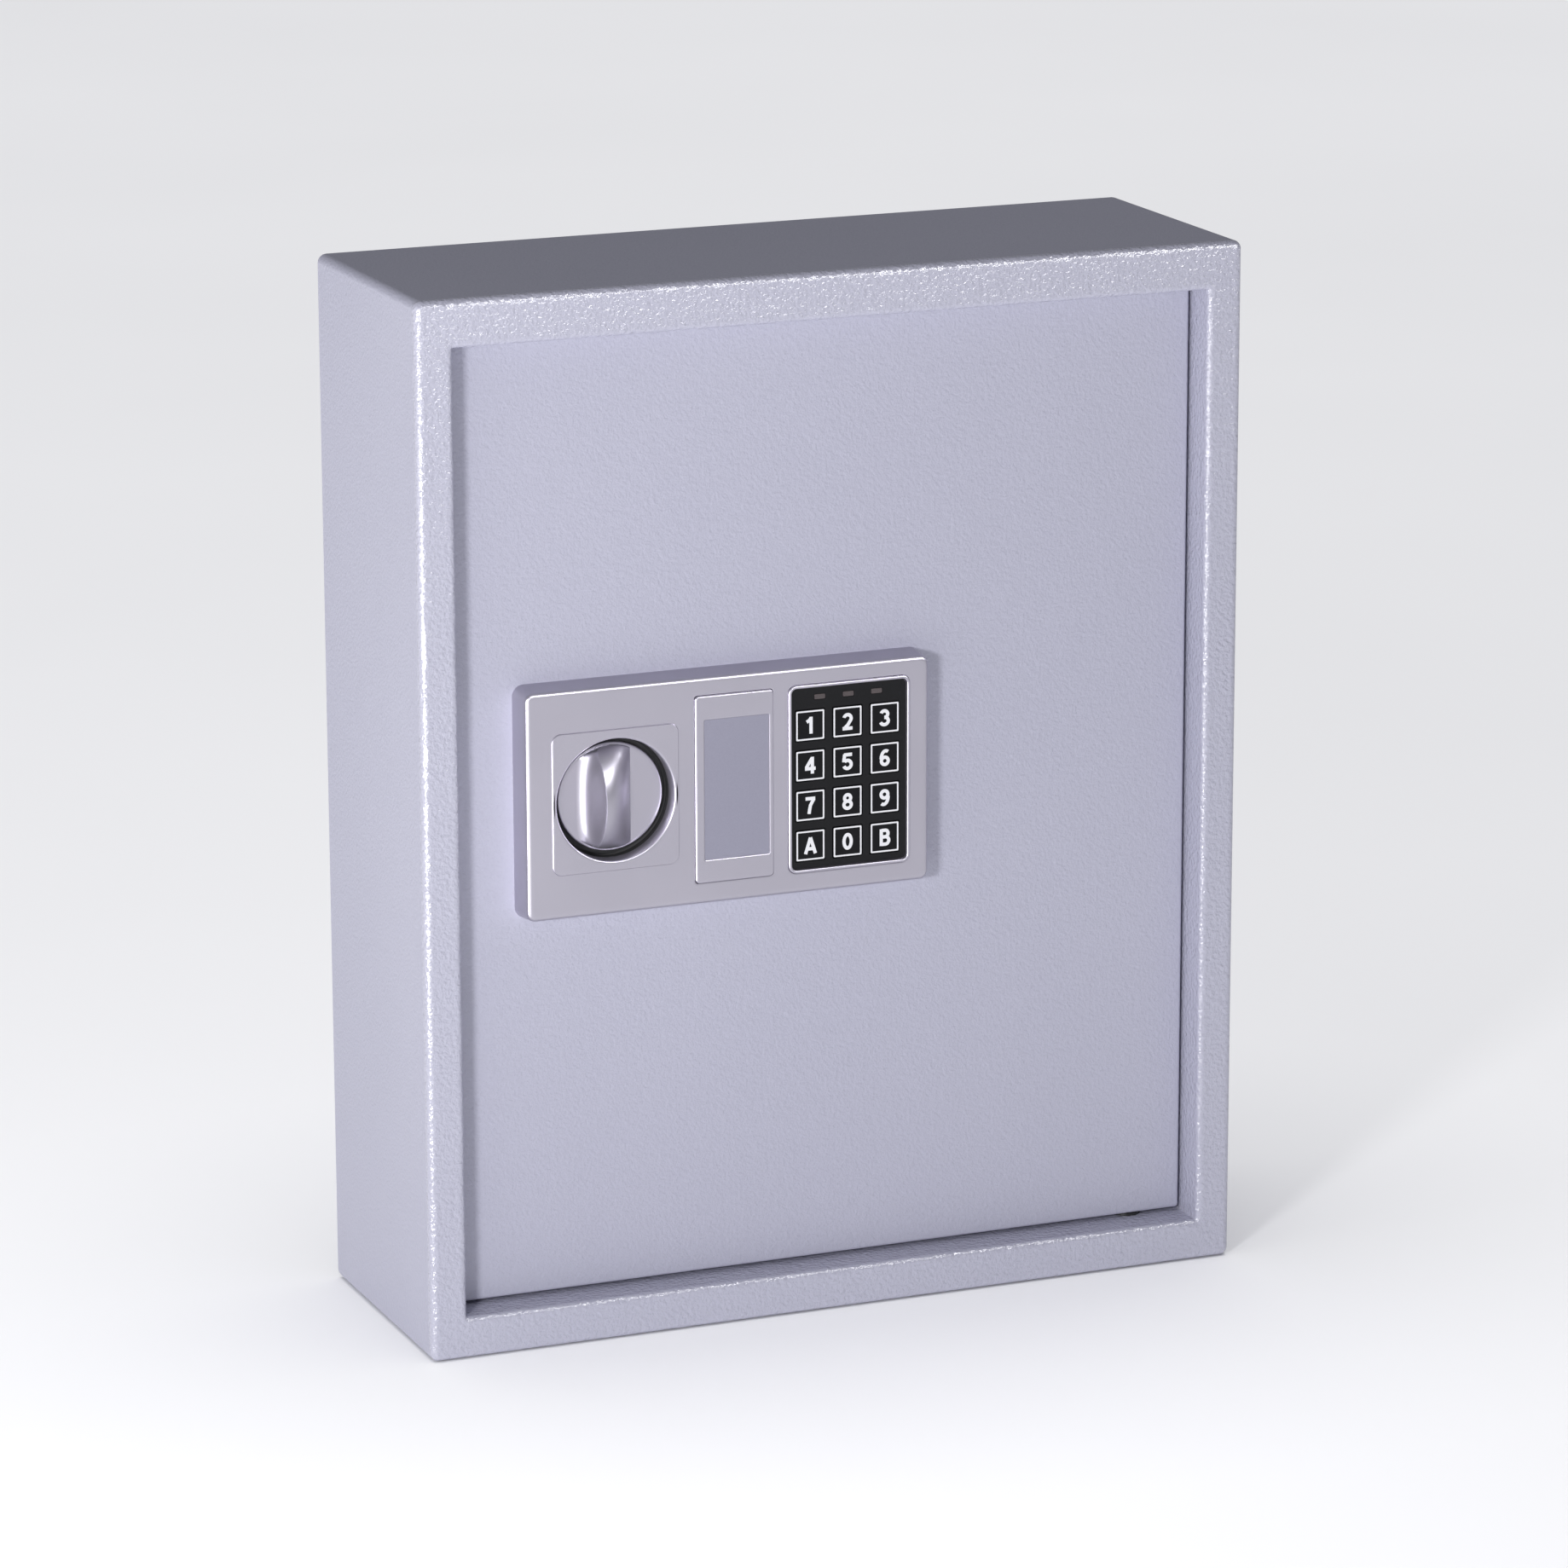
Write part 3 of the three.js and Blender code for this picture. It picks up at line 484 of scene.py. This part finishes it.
well = 21.2 * MM
well_floor = panel_rear - 2.5 * MM
# Behind this line the well's faces are coloured black: painted shade for the gap round the knob's disc.
well_shade_line = well_floor - 3.1 * MM
stem_hole = 6 * MM
plate = {"width": 45.1 * MM, "height": 48.6 * MM, "radius": 3 * MM, "rise": 0.5 * MM}
raised = panel_face - plate["rise"]
knob_rows = [cell_ring(0, panel_face)]
for outset, y in [(0.9, panel_face), (0.3, panel_face), (0.22, panel_face - 0.1 * MM),
                  (0.12, raised + 0.1 * MM), (0, raised), (-0.6, raised)]:
    knob_rows.append(box_ring(knob_x, knob_z, plate["width"] + 2 * outset * MM,
                              plate["height"] + 2 * outset * MM, plate["radius"] + outset * MM, y))
for radius, y in [(well + 1.2 * MM, raised), (well + 0.7 * MM, raised),
                  (well + 0.4 * MM, raised + 0.08 * MM), (well + 0.15 * MM, raised + 0.28 * MM),
                  (well, raised + 0.7 * MM), (well - 0.1 * MM, well_shade_line),
                  (well - 0.2 * MM, well_floor - 0.6 * MM),
                  (well - 0.8 * MM, well_floor), (stem_hole + 0.2 * MM, well_floor),
                  (stem_hole, well_floor + 0.2 * MM), (stem_hole, panel_rear)]:
    knob_rows.append(round_ring(knob_rows[0], knob_x, knob_z, radius, y))
knob_rows.append(cell_ring(0, panel_rear))
panel_meshes.append(skin("knob_cell", np.array(knob_rows)))

cover_x, cover_z = (cover_low.x + cover_high.x) / 2, (cover_low.z + cover_high.z) / 2
cover_width, cover_height = cover_high.x - cover_low.x, cover_high.z - cover_low.z


def pocket_rows(x, z, width, height, radius, floor_y):
    """The rings of a pocket that holds a box of that size, with its corner radius in millimetres: a
    broken edge, then walls down to the floor."""
    steps = [(0.9, panel_face), (0.3, panel_face), (0.14, panel_face + 0.06 * MM),
             (0.1, panel_face + 0.2 * MM), (0.1, floor_y)]
    return [box_ring(x, z, width + 2 * gap * MM, height + 2 * gap * MM, (radius + gap) * MM, y)
            for gap, y in steps]


cover_floor = cover_high.y + 0.15 * MM
cover_rows = [cell_ring(1, panel_face)]
cover_rows += pocket_rows(cover_x, cover_z, cover_width, cover_height, 1.2, cover_floor)
barrel_low, barrel_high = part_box("override_barrel")
barrel_x, barrel_z = (barrel_low.x + barrel_high.x) / 2, (barrel_low.z + barrel_high.z) / 2
barrel_hole = (barrel_high.x - barrel_low.x) / 2 + 0.3 * MM
for y in (cover_floor, panel_rear):
    cover_rows.append(round_ring(cover_rows[0], barrel_x, barrel_z, barrel_hole, y))
cover_rows.append(cell_ring(1, panel_rear))
panel_meshes.append(skin("cover_cell", np.array(cover_rows)))

bezel_x, bezel_z = (bezel_low.x + bezel_high.x) / 2, (bezel_low.z + bezel_high.z) / 2
bezel_width, bezel_height = bezel_high.x - bezel_low.x, bezel_high.z - bezel_low.z
pad_floor = bezel_high.y + 0.15 * MM
window_width, window_height = 41 * MM, 62 * MM
pad_rows = [cell_ring(2, panel_face)]
pad_rows += pocket_rows(bezel_x, bezel_z, bezel_width, bezel_height, 3, pad_floor)
for y in (pad_floor, panel_rear):
    pad_rows.append(box_ring(bezel_x - 0.2 * MM, bezel_z, window_width, window_height, 1 * MM, y))
pad_rows.append(cell_ring(2, panel_rear))
panel_meshes.append(skin("pad_cell", np.array(pad_rows)))
housing = settle("panel_housing", panel_meshes, "door", silver, "silver_plastic", "panel_body")

# Black moulding for the battery tray, also used as painted shade at the bottom of the knob's well.
moulding_and_well_shade = Finish("black_moulding_and_well_shade")
spark = moulding_and_well_shade.noise(2600, 2)
moulding_and_well_shade.set("Base Color", moulding_and_well_shade.between(spark, (0.016, 0.016, 0.018), (0.032, 0.032, 0.034)))
moulding_and_well_shade.set("Roughness", 0.46 + spark * 0.2)
moulding_and_well_shade.bump(spark, 0.18, 0.0001)
housing.data.materials.append(moulding_and_well_shade.material)
# Faces in the well behind the shade line take the black finish: painted shade in the gap round the disc.
for face in housing.data.polygons:
    off_axis = math.hypot(face.center.x - knob_x, face.center.z - knob_z)
    face.material_index = int(off_axis < well + 0.1 * MM and face.center.y > well_shade_line - 0.2 * MM)

# ---- Knob -------------------------------------------------------------------------------------------
# A disc with a rolled rim, moulded in one with a fin grip and painted like the housing. The fin has a
# hollow left wall, a crest that is a circular arc, and a front that falls away to the right.

disc_radius = (knob_high.x - knob_low.x) / 2
disc_face = well_floor - 3 * MM
GRIP = {"left": -13.5 * MM, "crest": -5.8 * MM, "right": 7.3 * MM, "half": 18.3 * MM}
WALL_POWER, FRONT_POWER = 3.2, 1.75
grip_rise = disc_face - knob_low.y
grip_arc = (GRIP["half"] ** 2 + grip_rise ** 2) / (2 * grip_rise)


def disc(rows, x, z, count=96):
    """Circles about a point, each a radius and a depth, as rows of points."""
    angle = np.linspace(0, 2 * np.pi, count, endpoint=False)
    unit = np.stack([np.cos(angle), np.zeros(count), np.sin(angle)], -1)
    return np.array([unit * radius + np.array([x, y, z]) for radius, y in rows])


knob_disc = [(disc_radius - 1.2 * MM, disc_face + 2.3 * MM), (disc_radius - 0.3 * MM, disc_face + 2.3 * MM),
             (disc_radius, disc_face + 1.9 * MM), (disc_radius, disc_face + 0.7 * MM),
             (disc_radius - 0.1 * MM, disc_face + 0.32 * MM), (disc_radius - 0.32 * MM, disc_face + 0.1 * MM),
             (disc_radius - 0.75 * MM, disc_face), (disc_radius - 1.5 * MM, disc_face)]
stem = [(5 * MM, disc_face + 2.2 * MM), (5 * MM, knob_high.y - 0.5 * MM), (4.5 * MM, knob_high.y)]

# The fin's rows run up it and its columns run across it. Its height over the disc is a circular arc up
# the fin, times a profile across it: the left wall climbs as a power of the way across, which makes it
# hollow, and the front falls from the crest as one less a power of the way across.
upright = np.linspace(-1, 1, 49)[:, None]
grip_z = GRIP["half"] * 0.995 * np.sin(upright * np.pi / 2)
rise = np.sqrt(grip_arc ** 2 - grip_z ** 2) - (grip_arc - grip_rise)
along = np.linspace(0, 1, 22)[None, :] ** 1.2
front_x = GRIP["crest"] + along * (GRIP["right"] - GRIP["crest"])
front_rise = 1 - along ** FRONT_POWER
wall = np.linspace(0, 1, 14)[None, :]
wall_x = GRIP["left"] + (GRIP["crest"] - 0.2 * MM - GRIP["left"]) * wall
profile_x = np.hstack([[[GRIP["left"]]], wall_x, front_x, [[GRIP["right"]]]])
reach = np.sqrt(np.maximum((disc_radius - 0.9 * MM) ** 2 - grip_z ** 2, 0))
profile_x = np.clip(profile_x, -reach, reach)
profile_rise = np.hstack([[[0.0]], 0.97 * wall ** WALL_POWER, front_rise, [[0.0]]])
sunk = np.full(profile_rise.shape, 0.05 * MM)
sunk[0, [0, -1]] = 0.8 * MM
grip = np.stack([profile_x + knob_x, disc_face - rise * profile_rise + sunk,
                 np.broadcast_to(grip_z + knob_z, profile_x.shape)], -1)
settle("turn_knob", [skin("disc", disc(knob_disc, knob_x, knob_z), cap_first=True, cap_last=True),
                     skin("stem", disc(stem, knob_x, knob_z, 48), cap_first=True, cap_last=True),
                     skin("grip", grip, cap_first=True, cap_last=True)],
       "knob_body", silver, "silver_plastic", "knob")

# ---- Middle cover -----------------------------------------------------------------------------------
# A clip-on cover over the override lock, moulded and painted like the housing, with a blank grey label
# card in its sunk field.

label = {"x": cover_x + 0.8 * MM, "z": cover_z - 0.2 * MM, "width": 23.7 * MM, "height": 49 * MM,
         "depth": 0.5 * MM}


def cover_ring(inset, y):
    """The cover's outline moved inwards by the inset, in millimetres."""
    return box_ring(cover_x, cover_z, cover_width - 2 * inset * MM, cover_height - 2 * inset * MM,
                    max(1.5 - inset, 0.4) * MM, y)


def label_ring(outset, y):
    """The label field's outline moved outwards by the outset, in millimetres."""
    return box_ring(label["x"], label["z"], label["width"] + 2 * outset * MM,
                    label["height"] + 2 * outset * MM, (0.5 + outset) * MM, y)


cover_face = cover_low.y
cover_rows = [cover_ring(1, cover_high.y), cover_ring(0, cover_high.y)]
cover_rows += [cover_ring(0.7 * (1 - math.cos(a)), cover_face + 0.7 * MM * (1 - math.sin(a))) for a in bend]
label_floor = cover_face + label["depth"]
cover_rows += [cover_ring(1.1, cover_face), label_ring(0.5, cover_face),
               label_ring(0.25, cover_face + 0.03 * MM), label_ring(0.08, cover_face + 0.15 * MM),
               label_ring(0, label_floor), label_ring(-0.6, label_floor)]
settle("middle_cover", [skin("middle_cover", np.array(cover_rows), cap_first=True, cap_last=True)],
       "override_cap", silver, "silver_plastic", "override_cover")

card = Finish("label_card")
fibre = card.noise(2200, 2)
card.set("Base Color", card.between(fibre, (0.285, 0.28, 0.36), (0.33, 0.325, 0.41)))
card.set("Roughness", 0.48 + fibre * 0.15)
card.bump(fibre, 0.06, 0.00005)
card_rows = [label_ring(-0.15, label_floor - 0.01 * MM), label_ring(-0.15, label_floor - 0.1 * MM),
             label_ring(-0.22, label_floor - 0.14 * MM)]
settle("blank_label", [skin("blank_label", np.array(card_rows), cap_first=True, cap_last=True)],
       "override_cap", card, "silver_plastic")

# ---- Keypad -----------------------------------------------------------------------------------------
# A raised bezel round a satin black film. Twelve caps stand in the film's openings, each with a white
# square and a white character printed on it, and three dark lamp windows sit above them.


def bezel_ring(inset, y):
    """The bezel's outline moved inwards by the inset, in millimetres."""
    return box_ring(bezel_x, bezel_z, bezel_width - 2 * inset * MM, bezel_height - 2 * inset * MM,
                    max(3 - inset, 1.2) * MM, y)


bezel_rows = [bezel_ring(0, bezel_high.y)]
bezel_rows += [bezel_ring(0.6 * (1 - math.cos(a)), bezel_low.y + 0.6 * MM * (1 - math.sin(a))) for a in bend]
bezel_rows += [bezel_ring(1.2 - 0.5 * (1 - math.cos(a)), bezel_low.y + 0.5 * MM * (1 - math.sin(a)))
               for a in bend[::-1]]
bezel_rows += [bezel_ring(1.2, bezel_high.y)]
settle("keypad_surround", [skin("keypad_surround", np.array(bezel_rows), wrap_rows=True)], "door", silver,
       "silver_plastic", "keypad_bezel")

film = Finish("black_film", Specular_IOR_Level=0.25)
dust = film.noise(900, 3)
film.set("Base Color", film.between(dust, (0.004, 0.004, 0.005), (0.009, 0.009, 0.011)))
film.set("Roughness", 0.30 + dust * 0.16)
film.bump(film.noise(3800, 1), 0.05, 0.00005)
softened("keypad_film", "door", film, 0.12)

lens = Finish("lamp_lens", Coat_Weight=0.6, Coat_Roughness=0.08)
depth = lens.noise(1500, 2)
lens.set("Base Color", lens.between(depth, (0.040, 0.028, 0.030), (0.080, 0.060, 0.062)))
lens.set("Roughness", 0.18 + depth * 0.1)
for colour in ("red", "amber", "green"):
    softened(f"lamp_{colour}", "door", lens, 0.1)

cap_black = Finish("key_cap", Specular_IOR_Level=0.2)
matt = cap_black.noise(4200, 2)
cap_black.set("Base Color", cap_black.between(matt, (0.002, 0.002, 0.003), (0.006, 0.006, 0.008)))
cap_black.set("Roughness", 0.38 + matt * 0.18)
cap_black.bump(matt, 0.06, 0.00005)
ink = Finish("white_ink")
grain = ink.noise(6000, 2)
ink.set("Base Color", ink.between(grain, (0.82, 0.82, 0.86), (0.92, 0.92, 0.94)))
ink.set("Roughness", 0.45 + grain * 0.1)


def stroke(path, width, closed, rise):
    """A thin printed bar carried along a path on the key's face: points offset both ways along the
    path's normal, with a front and a rear face."""
    path = np.array(path)
    ahead = np.roll(path, -1, 0) - np.roll(path, 1, 0) if closed else np.gradient(path, axis=0)
    ahead /= np.linalg.norm(ahead, axis=1, keepdims=True)
    side = np.stack([-ahead[:, 1], ahead[:, 0]], -1) * width / 2
    corners = [(side, 0), (side, -rise), (-side, -rise), (-side, 0)]
    return np.stack([np.insert(path + offset, 1, depth, axis=1) for offset, depth in corners], 1)


def arc(x, z, half_width, half_height, start, end):
    """Points on an ellipse from one angle to another, in degrees."""
    angle = np.radians(np.linspace(start, end, 33))
    return [(x + half_width * math.cos(a), z + half_height * math.sin(a)) for a in angle]


# Each character's strokes are paths in shares of its height from its centre, open or closed. Their width
# is in the same shares.
STROKE_WIDTH = 0.205
six = [(arc(0.01, -0.19, 0.215, 0.215, 0, 348.75), True), (arc(0.07, -0.06, 0.29, 0.465, 182, 62), False)]
CHARACTERS = {
    "0": [(arc(0, 0, 0.225, 0.405, 0, 348.75), True)],
    "1": [([(0.05, -0.5), (0.05, 0.5)], False), ([(0.06, 0.43), (-0.08, 0.28), (-0.22, 0.2)], False)],
    "2": [(arc(0, 0.18, 0.225, 0.225, 165, -38) + [(0.02, -0.2), (-0.22, -0.41)], False),
          ([(-0.31, -0.41), (0.31, -0.41)], False)],
    "3": [(arc(-0.02, 0.21, 0.21, 0.2, 160, -90), False), (arc(-0.02, -0.19, 0.245, 0.22, 90, -162), False)],
    "4": [([(0.13, -0.5), (0.13, 0.5)], False), ([(0.1, 0.42), (-0.26, -0.14)], False),
          ([(-0.33, -0.19), (0.33, -0.19)], False)],
    "5": [([(-0.22, 0.41), (0.28, 0.41)], False), ([(-0.18, 0.45), (-0.24, -0.02)], False),
          (arc(-0.01, -0.17, 0.235, 0.24, 138, -158), False)],
    "6": six,
    "7": [([(-0.3, 0.41), (0.3, 0.41)], False), ([(0.22, 0.38), (0.0, 0.0), (-0.09, -0.5)], False)],
    "8": [(arc(0, 0.21, 0.19, 0.195, 0, 348.75), True), (arc(0, -0.19, 0.23, 0.215, 0, 348.75), True)],
    "9": [([(-x, -z) for x, z in path], closed) for path, closed in six],
    "A": [([(-0.31, -0.5), (0, 0.47)], False), ([(0.31, -0.5), (0, 0.47)], False),
          ([(-0.2, -0.2), (0.2, -0.2)], False)],
    "B": [([(-0.21, -0.5), (-0.21, 0.5)], False),
          ([(-0.2, 0.42)] + arc(0.04, 0.225, 0.175, 0.195, 90, -90) + [(-0.2, 0.03)], False),
          ([(-0.2, 0.03)] + arc(0.06, -0.19, 0.2, 0.22, 90, -90) + [(-0.2, -0.41)], False)],
}


def lettering(text, x, z, height, y):
    """A character's strokes as thin raised print, centred on a point and facing the front."""
    strokes = []
    for k, (path, closed) in enumerate(CHARACTERS[text]):
        grid = stroke(np.array(path) * height, STROKE_WIDTH * height, closed, (0.03 + 0.008 * k) * MM)
        strokes.append(skin("stroke", grid + np.array([x, y, z]), wrap_rows=closed,
                            cap_first=not closed, cap_last=not closed))
    return strokes


for character in "123456789A0B":
    low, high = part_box("key_" + character)
    x, z, half = (low.x + high.x) / 2, (low.z + high.z) / 2, (high.x - low.x) / 2

    def key_ring(inset, y):
        """This key's square outline moved inwards by the inset, in millimetres."""
        size = 2 * (half - inset * MM)
        return box_ring(x, z, size, size, max(0.7 - inset, 0.25) * MM, y)

    cap_rows = [key_ring(0, high.y), key_ring(0, low.y + 0.25 * MM), key_ring(0.07, low.y + 0.07 * MM),
                key_ring(0.25, low.y), key_ring(0.8, low.y)]
    cap = skin("cap", np.array(cap_rows), cap_first=True, cap_last=True)
    settle("cap_" + character, [cap], f"key_{character}_cap", cap_black, "key_rubber", "key_" + character)
    ink_front = low.y - 0.03 * MM
    square = [key_ring(0.3, low.y), key_ring(0.3, ink_front), key_ring(0.85, ink_front),
              key_ring(0.85, low.y)]
    printed = [skin("square", np.array(square), wrap_rows=True)]
    printed += lettering(character, x, z, 5.9 * MM, low.y)
    settle("print_" + character, printed, f"key_{character}_cap", ink, "key_rubber")

# ---- Keypad board and lead --------------------------------------------------------------------------
# A green lacquered circuit board lies in the housing behind the keys. A rubber-covered lead runs from it
# through the door plate and into the lock cover.

board = Finish("circuit_board", Coat_Weight=0.3)
tracks = board.noise(420, 1, board.stretched(1, 1, 4))
board.set("Base Color", board.between(tracks > 0.52, (0.012, 0.090, 0.035), (0.020, 0.150, 0.060)))
board.set("Roughness", 0.32 + tracks * 0.1)
board.bump(tracks, 0.1, 0.0001)
softened("keypad_board", "door", board, 0.1)

jacket = Finish("lead_jacket")
rub = jacket.noise(900, 3)
jacket.set("Base Color", jacket.between(rub, (0.012, 0.012, 0.013), (0.028, 0.027, 0.028)))
jacket.set("Roughness", 0.5 + rub * 0.15)
jacket.bump(rub, 0.08, 0.0001)
softened("keypad_lead", "door", jacket, 0.1)

# ---- Override lock ----------------------------------------------------------------------------------
# A turned brass barrel, fixed in the housing's floor behind the middle cover. A key turns the plug inside
# it, and the cam arm on the plug's rear end reaches into the lock.

brass = Finish("turned_brass", Metallic=0.95)
rings = brass.noise(900, 2, brass.stretched(0.4, 6, 0.4))
tarnish = brass.noise(240, 3)
brass.set("Base Color", brass.between(tarnish, (0.46, 0.33, 0.13), (0.66, 0.50, 0.23)))
brass.set("Roughness", 0.24 + rings * 0.2)
brass.bump(rings, 0.15, 0.0001)
softened("override_barrel", "door", brass, 0.35)
softened("override_plug", "override_key_plug", brass, 0.3)

# ---- Bolt work --------------------------------------------------------------------------------------
# A zinc-plated guide plate with two headed studs, the carriage that slides on them, the knob's cam, and
# two turned bolts riveted to the carriage's flange.

softened("lock_base", "door", zinc, 0.25)
softened("bolt_carriage", "carriage", zinc, 0.25)
softened("knob_cam", "knob_body", zinc, 0.25)
turned = Finish("turned_steel", Metallic=1.0)
lathe_marks = turned.noise(1400, 2, turned.stretched(5, 0.3, 0.3))
turned.set("Base Color", turned.between(lathe_marks, (0.56, 0.57, 0.59), (0.70, 0.70, 0.71)))
turned.set("Roughness", 0.16 + lathe_marks * 0.14)
turned.bump(lathe_marks, 0.12, 0.0001)
softened("bolt_upper", "carriage", turned, 0.4)
softened("bolt_lower", "carriage", turned, 0.4)

# ---- Solenoid ---------------------------------------------------------------------------------------
# A zinc-plated steel frame with the coil inside, bored from above. A turned steel plunger slides in the
# bore and blocks the carriage through one of the two notches in its toe.

softened("solenoid_body", "door", zinc, 0.4)
softened("solenoid_plunger", "plunger", turned, 0.4)

# ---- Lock cover -------------------------------------------------------------------------------------
# A folded and powder-coated tray over the bolt work, held by four cross-slotted pan-head screws. A red
# button for setting the code stands in its rear face.

softened("lock_cover", "door", powder, 0.5)
for number in range(1, 5):
    softened(f"cover_screw_{number}", "door", zinc, 0.3)
red = Finish("red_button", Coat_Weight=0.2)
swirl = red.noise(700, 2)
red.set("Base Color", red.between(swirl, (0.36, 0.012, 0.010), (0.50, 0.025, 0.018)))
red.set("Roughness", 0.3 + swirl * 0.1)
red.bump(swirl, 0.04, 0.0001)
softened("reset_button", "reset", red, 0.6, segments=3)

# ---- Batteries --------------------------------------------------------------------------------------
# A black moulded tray holds four cells side by side, each in a printed plastic sleeve under a bare metal
# end. The tray's cover slides off sideways, and has three grip ribs at its leading end.

softened("battery_box", "door", moulding_and_well_shade, 0.4)
softened("battery_cover", "battery_lid", moulding_and_well_shade, 0.4)
wrap = Finish("cell_wrap", Coat_Weight=0.4, Coat_Roughness=0.1)
scuff = wrap.noise(350, 3)
height = wrap.node("ShaderNodeSeparateXYZ", {}, {"Vector": wrap.place}, "Z")
cell_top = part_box("cell_1")[1].z
band_depth, end_depth = 14 * MM, 1.7 * MM
upper_band = height > (cell_top - band_depth)
metal_end = height > (cell_top - end_depth)
body_colour = wrap.between(scuff, (0.020, 0.060, 0.20), (0.035, 0.095, 0.28))
banded = wrap.node("ShaderNodeMix", {"data_type": "RGBA"},
                   {0: upper_band, 6: body_colour, 7: (0.55, 0.40, 0.10, 1)}, 2)
wrap.set("Base Color", wrap.node("ShaderNodeMix", {"data_type": "RGBA"},
                                 {0: metal_end, 6: banded, 7: (0.6, 0.6, 0.6, 1)}, 2))
wrap.set("Metallic", metal_end * 0.9)
wrap.set("Roughness", 0.28 + scuff * 0.12)
for number in range(1, 5):
    softened(f"cell_{number}", "door", wrap, 0.4)

# ---- Floor, light and camera ------------------------------------------------------------------------
# A plain pale floor. A square light stands to the left of the camera, a large panel fills the left side,
# two lines seen only in reflections pick out the bends, and a light only the floor takes keeps it pale.

floor_finish = Finish("pale_floor")
mottle = floor_finish.noise(2, 3)
floor_finish.set("Base Color", floor_finish.between(mottle, (0.86, 0.86, 0.87), (0.90, 0.90, 0.91)))
floor_finish.set("Roughness", 0.75 + mottle * 0.1)
span, ground = 14.0, -0.2 * MM
floor_mesh = skin("floor", np.array([[(-span, -span, ground), (span, -span, ground)],
                                     [(-span, span, ground), (span, span, ground)]]), wrap_columns=False)
floor_mesh.flip_normals()
floor_mesh.materials.append(floor_finish.material)
floor = bpy.data.objects.new("floor", floor_mesh)
floor_group = bpy.data.collections.new("floor_only")
bpy.context.scene.collection.children.link(floor_group)
floor_group.objects.link(floor)


def direction(azimuth, elevation):
    """The unit vector from the object towards a viewer at these angles; azimuth 0 is the front."""
    a, e = math.radians(azimuth), math.radians(elevation)
    return Vector((math.sin(a) * math.cos(e), -math.cos(a) * math.cos(e), math.sin(e)))


middle = Vector((0, 0, (shell_low.z + shell_high.z) / 2))


def panel_light(name, azimuth, elevation, distance, size, watts):
    """A square area light that faces the object's middle."""
    data = bpy.data.lights.new(name, "AREA")
    data.shape = "SQUARE"
    data.size = size
    data.energy = watts
    lamp = bpy.data.objects.new(name, data)
    bpy.context.scene.collection.objects.link(lamp)
    away = direction(azimuth, elevation)
    lamp.location = middle + away * distance
    lamp.rotation_euler = away.to_track_quat("Z", "Y").to_euler()
    return lamp


panel_light("key_light", azimuth=-41, elevation=10, distance=1.2, size=0.14, watts=6.7)
panel_light("left_fill", azimuth=-92, elevation=10, distance=1.5, size=0.9, watts=2.3)
bends = bpy.data.collections.new("bends")
for name in [part + "_bent" for part in frame_parts] + ["panel_housing", "turn_knob", "middle_cover",
                                                        "keypad_surround"]:
    bends.objects.link(bpy.data.objects[name])
for name, azimuth, elevation, distance, width, tall, watts in (
        ("upright_line", -60, -5, 0.50, 0.07, 0.26, 2.2), ("level_line", 24, 36, 0.60, 1.00, 0.06, 4.8)):
    line_light = panel_light(name, azimuth, elevation, distance, width, watts)
    line_light.data.shape = "RECTANGLE"
    line_light.data.size_y = tall
    line_light.light_linking.receiver_collection = bends
    line_light.visible_diffuse = False
    line_light.visible_camera = False
down_data = bpy.data.lights.new("floor_light", "SUN")
down_data.energy = 2.0
down_data.angle = math.radians(60)
down = bpy.data.objects.new("floor_light", down_data)
bpy.context.scene.collection.objects.link(down)
down.light_linking.receiver_collection = floor_group

# The sky that is seen is paler than the sky that lights the object.
world = bpy.data.worlds.new("studio")
world.use_nodes = True
bpy.context.scene.world = world
sky = world.node_tree.nodes["Background"]
sky.inputs["Color"].default_value = (0.93, 0.94, 1.0, 1)
sky.inputs["Strength"].default_value = 0.27
seen_sky = world.node_tree.nodes.new("ShaderNodeBackground")
seen_sky.inputs["Strength"].default_value = 0.88
rays = world.node_tree.nodes.new("ShaderNodeLightPath")
either = world.node_tree.nodes.new("ShaderNodeMixShader")
world.node_tree.links.new(rays.outputs["Is Camera Ray"], either.inputs[0])
world.node_tree.links.new(sky.outputs[0], either.inputs[1])
world.node_tree.links.new(seen_sky.outputs[0], either.inputs[2])
world.node_tree.links.new(either.outputs[0], world.node_tree.nodes["World Output"].inputs["Surface"])

view_azimuth, view_elevation, view_roll = -22.33, 14.42, -0.174
view_distance, view_drop = 2.33, 0.0061
camera_data = bpy.data.cameras.new("camera")
camera_data.sensor_width = 36
camera_data.lens = 153.96
camera_data.clip_start = 0.1
camera_data.clip_end = 60
camera = bpy.data.objects.new("camera", camera_data)
bpy.context.scene.collection.objects.link(camera)
back = direction(view_azimuth, view_elevation)
level = Vector((math.cos(math.radians(view_azimuth)), math.sin(math.radians(view_azimuth)), 0))
roll = Matrix.Rotation(math.radians(view_roll), 3, back)
right, up = roll @ level, roll @ back.cross(level)
place = Matrix.Translation(middle + back * view_distance - up * view_drop)
camera.matrix_world = place @ Matrix((right, up, back)).transposed().to_4x4()
bpy.context.scene.camera = camera
bpy.context.scene.view_settings.view_transform = "Standard"
